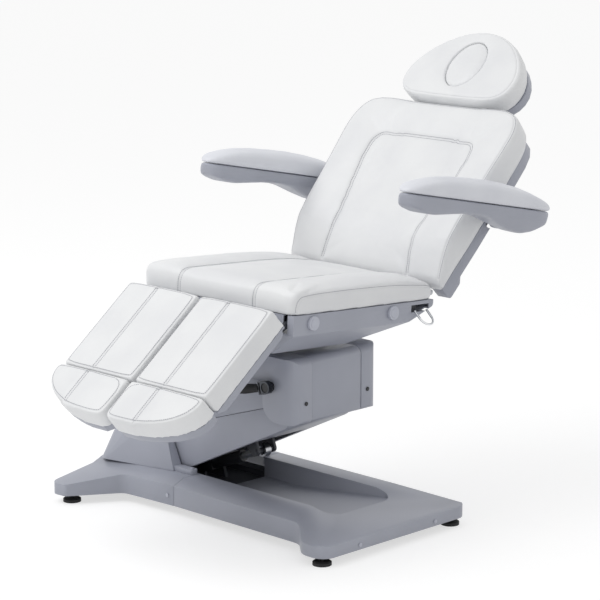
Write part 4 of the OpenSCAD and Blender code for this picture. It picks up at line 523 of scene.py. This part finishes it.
def sewRow(name, line):   # stitches laid along a line on the leather
    length = sum((b - a).length for a, b in zip(line, line[1:]))
    guide = bpy.data.curves.new(name + "_line", "CURVE")
    guide.dimensions = "3D"
    spline = guide.splines.new("POLY")
    spline.points.add(len(line) - 1)
    for point, place in zip(spline.points, line):
        point.co = (*place, 1.0)
    path = bpy.data.objects.new(name + "_line", guide)
    bpy.context.scene.collection.objects.link(path)
    row = stitch.copy()
    row.data = stitch.data.copy()
    row.name = name
    bpy.context.scene.collection.objects.link(row)
    repeat = row.modifiers.new("repeat", "ARRAY")
    repeat.count = int(length / (stitchSize["pitch"] * mm))
    repeat.use_relative_offset, repeat.use_constant_offset = False, True
    repeat.constant_offset_displace = (stitchSize["pitch"] * mm, 0, 0)
    follow = row.modifiers.new("follow", "CURVE")
    follow.object, follow.deform_axis = path, "POS_X"
    applyAll(row)
    bpy.data.objects.remove(path)
    return row


def sewThreads(name, piece, paths, body):   # the rows beside each seam, joined into one piece
    tree = surfaceTree(piece)
    rows = []
    for seam, path in paths:
        for shift in seam["threads"]:
            line = []
            for i in range(0, len(path), sewing["every"]):
                place, normal = path[i]
                last = path[min(i + sewing["ahead"], len(path) - 1)][0]
                ahead = last - path[max(i - sewing["ahead"], 0)][0]
                side = ahead.cross(normal)
                if side.length < sewing["least"]:
                    continue
                near, out = tree.find_nearest(place + side.normalized() * shift * mm)[:2]
                if not line or (near - line[-1]).length > sewing["apart"] * mm:
                    line.append(near + out * sewing["lift"] * mm)   # the thread lies two fifths sunk
            rows.append(sewRow(f"{name}_{len(rows)}", line))
    bpy.ops.object.select_all(action="DESELECT")
    for row in rows:
        row.select_set(True)
    bpy.context.view_layer.objects.active = rows[0]
    bpy.ops.object.join()
    rows[0].name = name
    bpy.ops.object.shade_smooth_by_angle(angle=math.radians(sharpAngle["thread"]))
    # the thread's grey is painted shade of the seam groove, not the thread's own colour
    settle(rows[0], body, "white_leather", threadWithPaintedShade)


# what a cushion has unless its own entry says otherwise; "hold" is how much of its foot the cloth leaves
# still, and "seamHold" how much beside a seam, as a share of a voxel
padUsual = {"smooth": 4, "hold": 5, "seamHold": 0.8, "pressure": 4, "leather": whiteLeather}


def makePad(given):   # a cushion from its CAD solid: remeshed, blown up as cloth, subdivided, then sewn
    pad = {**padUsual, **given}
    matrix = frames[pad["frame"]]
    inverse = matrix.inverted()
    piece = copyOfNode(pad["node"], pad["name"])
    remesh = piece.modifiers.new("remesh", "REMESH")
    remesh.mode, remesh.voxel_size = "VOXEL", pad["voxel"] * mm
    smooth = piece.modifiers.new("smooth", "SMOOTH")
    smooth.factor, smooth.iterations = smoothFactor, pad["smooth"]
    applyAll(piece)
    search = searchOf(seamPaths(pad["seams"], surfaceTree(piece), matrix))
    pinned = [v.index for v in piece.data.vertices if (inverse @ v.co).z < pad["base"] + pad["hold"]
              or search.find(v.co)[2] < pad["voxel"] * pad["seamHold"] * mm]
    swellCloth(piece, pinned, pad["pressure"], pad["cap"])
    finer = piece.modifiers.new("finer", "SUBSURF")
    finer.levels = finer.render_levels = 1
    applyAll(piece)
    paths = seamPaths(pad["seams"], surfaceTree(piece), matrix)
    if paths:
        pressSeams(piece, paths)
    selectOnly(piece)
    bpy.ops.object.shade_smooth()
    settle(piece, pad["body"], "white_leather", pad["leather"], pad["node"])
    if any(seam["threads"] for seam in pad["seams"]):
        sewThreads(pad["name"] + "_thread", piece, paths, pad["body"])
    report(f"{pad['name']}: {len(piece.data.polygons)} faces")


# a seam with a row of thread on each side, and an edge seam with one row beside it
edgeThread = 3.4
twinSeam = {"threads": (-4.8, 4.8), "deep": 3.8, "wide": 8.0, "closed": False}
edgeSeam = {"threads": (edgeThread,), "deep": 1.6, "wide": 3.2, "closed": False}
edgeBack = {**edgeSeam, "threads": (-edgeThread,)}

# seat: two seams up the front and back over the top, and one along each side's edge, as (along, out)
seatShape = {"twinAt": 148, "edgeAt": 304}
seatTwin = ((-262, 4), (-264, 44), (-236, 72), (0, 72), (200, 66), (286, 50))
seatEdge = ((-252, 4), (-250, 36), (-228, 52), (80, 52), (200, 44), (284, 36))
seatSeams = [{**twinSeam, "points": [(sign * seatShape["twinAt"], y, z) for y, z in seatTwin]}
             for sign in (-1, 1)]
seatSeams += [{**edgeBack, "points": [(sign * seatShape["edgeAt"], y, z) for y, z in seatEdge]}
              for sign in (-1, 1)]
seatPad = {"name": "seat_upholstery", "node": "seat_cushion", "body": "seat", "frame": "seat", "voxel": 6.0,
           "base": 0, "cap": 7, "seams": seatSeams}

# back: the outline of its face and of the dished middle panel, as shares of its half width and length
backShape = {"half": 290, "length": 578, "deep": 113, "panelTop": 0.772, "edgeInset": 0.035, "edgeTop": 0.975}
faceShares = ((0, 1.03), (0.1, 1.035), (0.25, 1.055), (0.5, 1.075), (0.77, 1.105), (0.85, 1.1), (0.91, 1.06),
              (0.95, 0.99), (0.98, 0.88), (1, 0.7))
panelShares = ((0.02, 0.58), (0.1, 0.555), (0.2, 0.53), (0.33, 0.55), (0.49, 0.61), (0.64, 0.65),
               (0.72, 0.64))
panelTopShares = (0.585, 0.4, 0, -0.4, -0.585)
edgeUpShares = (0.02, 0.1, 0.2, 0.35, 0.5, 0.65, 0.77, 0.85, 0.91, 0.95)
edgeTopShares = (0.78, 0.6, 0.3, 0, -0.3, -0.6, -0.78)
depthShares = ((0, 0.34), (0.06, 0.5), (0.12, 0.69), (0.2, 0.85), (0.32, 0.92), (0.5, 0.945), (0.75, 1),
               (1, 1))


def backFace(k, share):
    return (backShape["half"] * share, k * backShape["length"], backShape["deep"] * lookup(depthShares, k))


def bothSides(side, top=()):   # up one side, over the top and down the other
    return side + list(top) + [(-x, y, z) for x, y, z in reversed(side)]


panelLine = bothSides([backFace(k, s) for k, s in panelShares],
                      [backFace(backShape["panelTop"], s) for s in panelTopShares])
edgeLine = bothSides([backFace(k, lookup(faceShares, k) - backShape["edgeInset"])
                      for k in edgeUpShares],
                     [backFace(backShape["edgeTop"], s) for s in edgeTopShares])
backPad = {"name": "back_upholstery", "node": "back_cushion", "body": "back", "frame": "back", "voxel": 6.0,
           "base": 0, "cap": 9,
           "seams": [{**twinSeam, "points": panelLine, "threads": (-edgeThread, edgeThread)},
                     {**edgeSeam, "points": edgeLine}]}
cornerShare = 0.04


def softCorners(points):   # a closed outline, given points near its corners so that they stay tight
    out = []
    for a, b in zip(points, points[1:] + points[:1]):
        a, b = Vector(a), Vector(b)
        out += [a.lerp(b, cornerShare), a.lerp(b, 0.5), b.lerp(a, cornerShare)]
    return out


# legs: the edge seam of each face, and the twin seam down it, at its own distance from the chair's middle
twinAt = {"near": (1, 122), "far": (-1, 162)}
legShape = {"in": 9, "out": 279, "start": 4, "end": 308, "top": 4, "depth": 56}
legTwin = ((6, 6), (150, 6), (306, 6))
legRound = softCorners([(legShape["in"], legShape["start"], legShape["top"]),
                        (legShape["out"], legShape["start"], legShape["top"]),
                        (legShape["out"], legShape["end"], legShape["top"]),
                        (legShape["in"], legShape["end"], legShape["top"])])
legPads = []
for side, (sign, x) in twinAt.items():
    seams = [{**edgeSeam, "closed": True, "threads": (edgeThread * sign,),
              "points": [(sign * u, v, n) for u, v, n in legRound]},
             {**twinSeam, "points": [(sign * x, v, n) for v, n in legTwin]}]
    legPads.append({"name": f"leg_upholstery_{side}", "node": f"leg_cushion_{side}", "body": f"leg_{side}",
                    "frame": "leg", "voxel": 5.0, "base": -legShape["depth"], "hold": 12, "cap": 6,
                    "seams": seams})

# feet: the same seams on an outline that tapers to the toe
footShape = {"length": 130, "start": 316, "top": 10, "half": 300, "edge": 4, "depth": 60, "in": 9,
             "middle": 120, "tipInset": 8, "tipWidth": 30, "tipIn": 11, "toeOut": 6, "groove": 2.6}
footShares = ((0, 0.95), (0.16, 0.97), (0.36, 0.945), (0.5, 0.9), (0.64, 0.83), (0.76, 0.74), (0.86, 0.62),
              (0.93, 0.5), (0.97, 0.41), (1, 0.31))
footSideShares = (0.03, 0.16, 0.36, 0.5, 0.64, 0.76, 0.85)
footTipShares = {"corner": 0.94, "middle": 0.96, "inner": 0.86}
footTwin = ((5, 8), (60, 10))
toeShares = {"near": 0.93, "far": 0.88}   # where the twin seam ends
footPads = []
for side, (sign, x) in twinAt.items():
    tip = {part: share * footShape["length"] for part, share in footTipShares.items()}
    outline = [(footShape["in"], footShape["edge"]), (footShape["middle"], footShape["edge"])]
    outline += [(footShape["half"] * lookup(footShares, k) - footShape["edge"],
                 max(footShape["edge"], k * footShape["length"])) for k in footSideShares]
    outline += [(footShape["half"] * lookup(footShares, footTipShares["corner"]) - footShape["tipInset"],
                 tip["corner"]), (footShape["tipWidth"], tip["middle"]), (footShape["tipIn"], tip["inner"])]
    across = footTwin + ((toeShares[side] * footShape["length"], footShape["toeOut"]),)
    seams = [{**edgeSeam, "closed": True, "threads": (edgeThread * sign,),
              "points": [(sign * u, footShape["start"] + v, footShape["top"]) for u, v in outline]},
             {**twinSeam, "deep": footShape["groove"],
              "points": [(sign * x, footShape["start"] + v, n) for v, n in across]}]
    footPads.append({"name": f"foot_upholstery_{side}", "node": f"foot_cushion_{side}",
                     "body": f"foot_{side}", "frame": "leg", "voxel": 4.5,
                     "base": footShape["top"] - footShape["depth"], "hold": 14, "cap": 5, "seams": seams})

# headrest: an edge seam without visible thread, and the oval plug of the face opening
headShape = {"start": 581, "length": 258, "half": 217, "top": 113}
headShares = ((0.04, 0.66), (0.11, 0.84), (0.18, 0.905), (0.27, 0.94), (0.38, 0.94), (0.5, 0.895),
              (0.62, 0.81), (0.73, 0.70), (0.83, 0.56), (0.9, 0.42), (0.945, 0.27), (0.965, 0.12))
headLine = bothSides([(headShape["half"] * share, headShape["start"] + k * headShape["length"],
                       headShape["top"]) for k, share in headShares])
headPad = {"name": "headrest_upholstery", "node": "headrest_cushion", "body": "headrest", "frame": "back",
           "voxel": 4.5, "base": 44, "cap": 4,
           "seams": [{**edgeSeam, "closed": True, "threads": (), "deep": 2.0, "points": headLine}]}
plugPad = {"name": "face_plug_upholstery", "node": "face_plug", "body": "face_plug", "frame": "back",
           "voxel": 3.0, "base": 44, "cap": 2, "hold": 40, "seams": []}

armPads = [{"name": f"armrest_skin_{side}", "node": f"armrest_pad_{side}", "body": f"armrest_{side}",
            "frame": "armrest", "voxel": 4.5, "base": 0, "cap": 3, "seams": [], "leather": armLeather,
            "smooth": 14} for side in twinAt]

for pad in [seatPad, backPad] + legPads + footPads + [headPad, plugPad] + armPads:
    makePad(pad)
bpy.data.objects.remove(stitch)

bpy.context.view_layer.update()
report("sizes written")
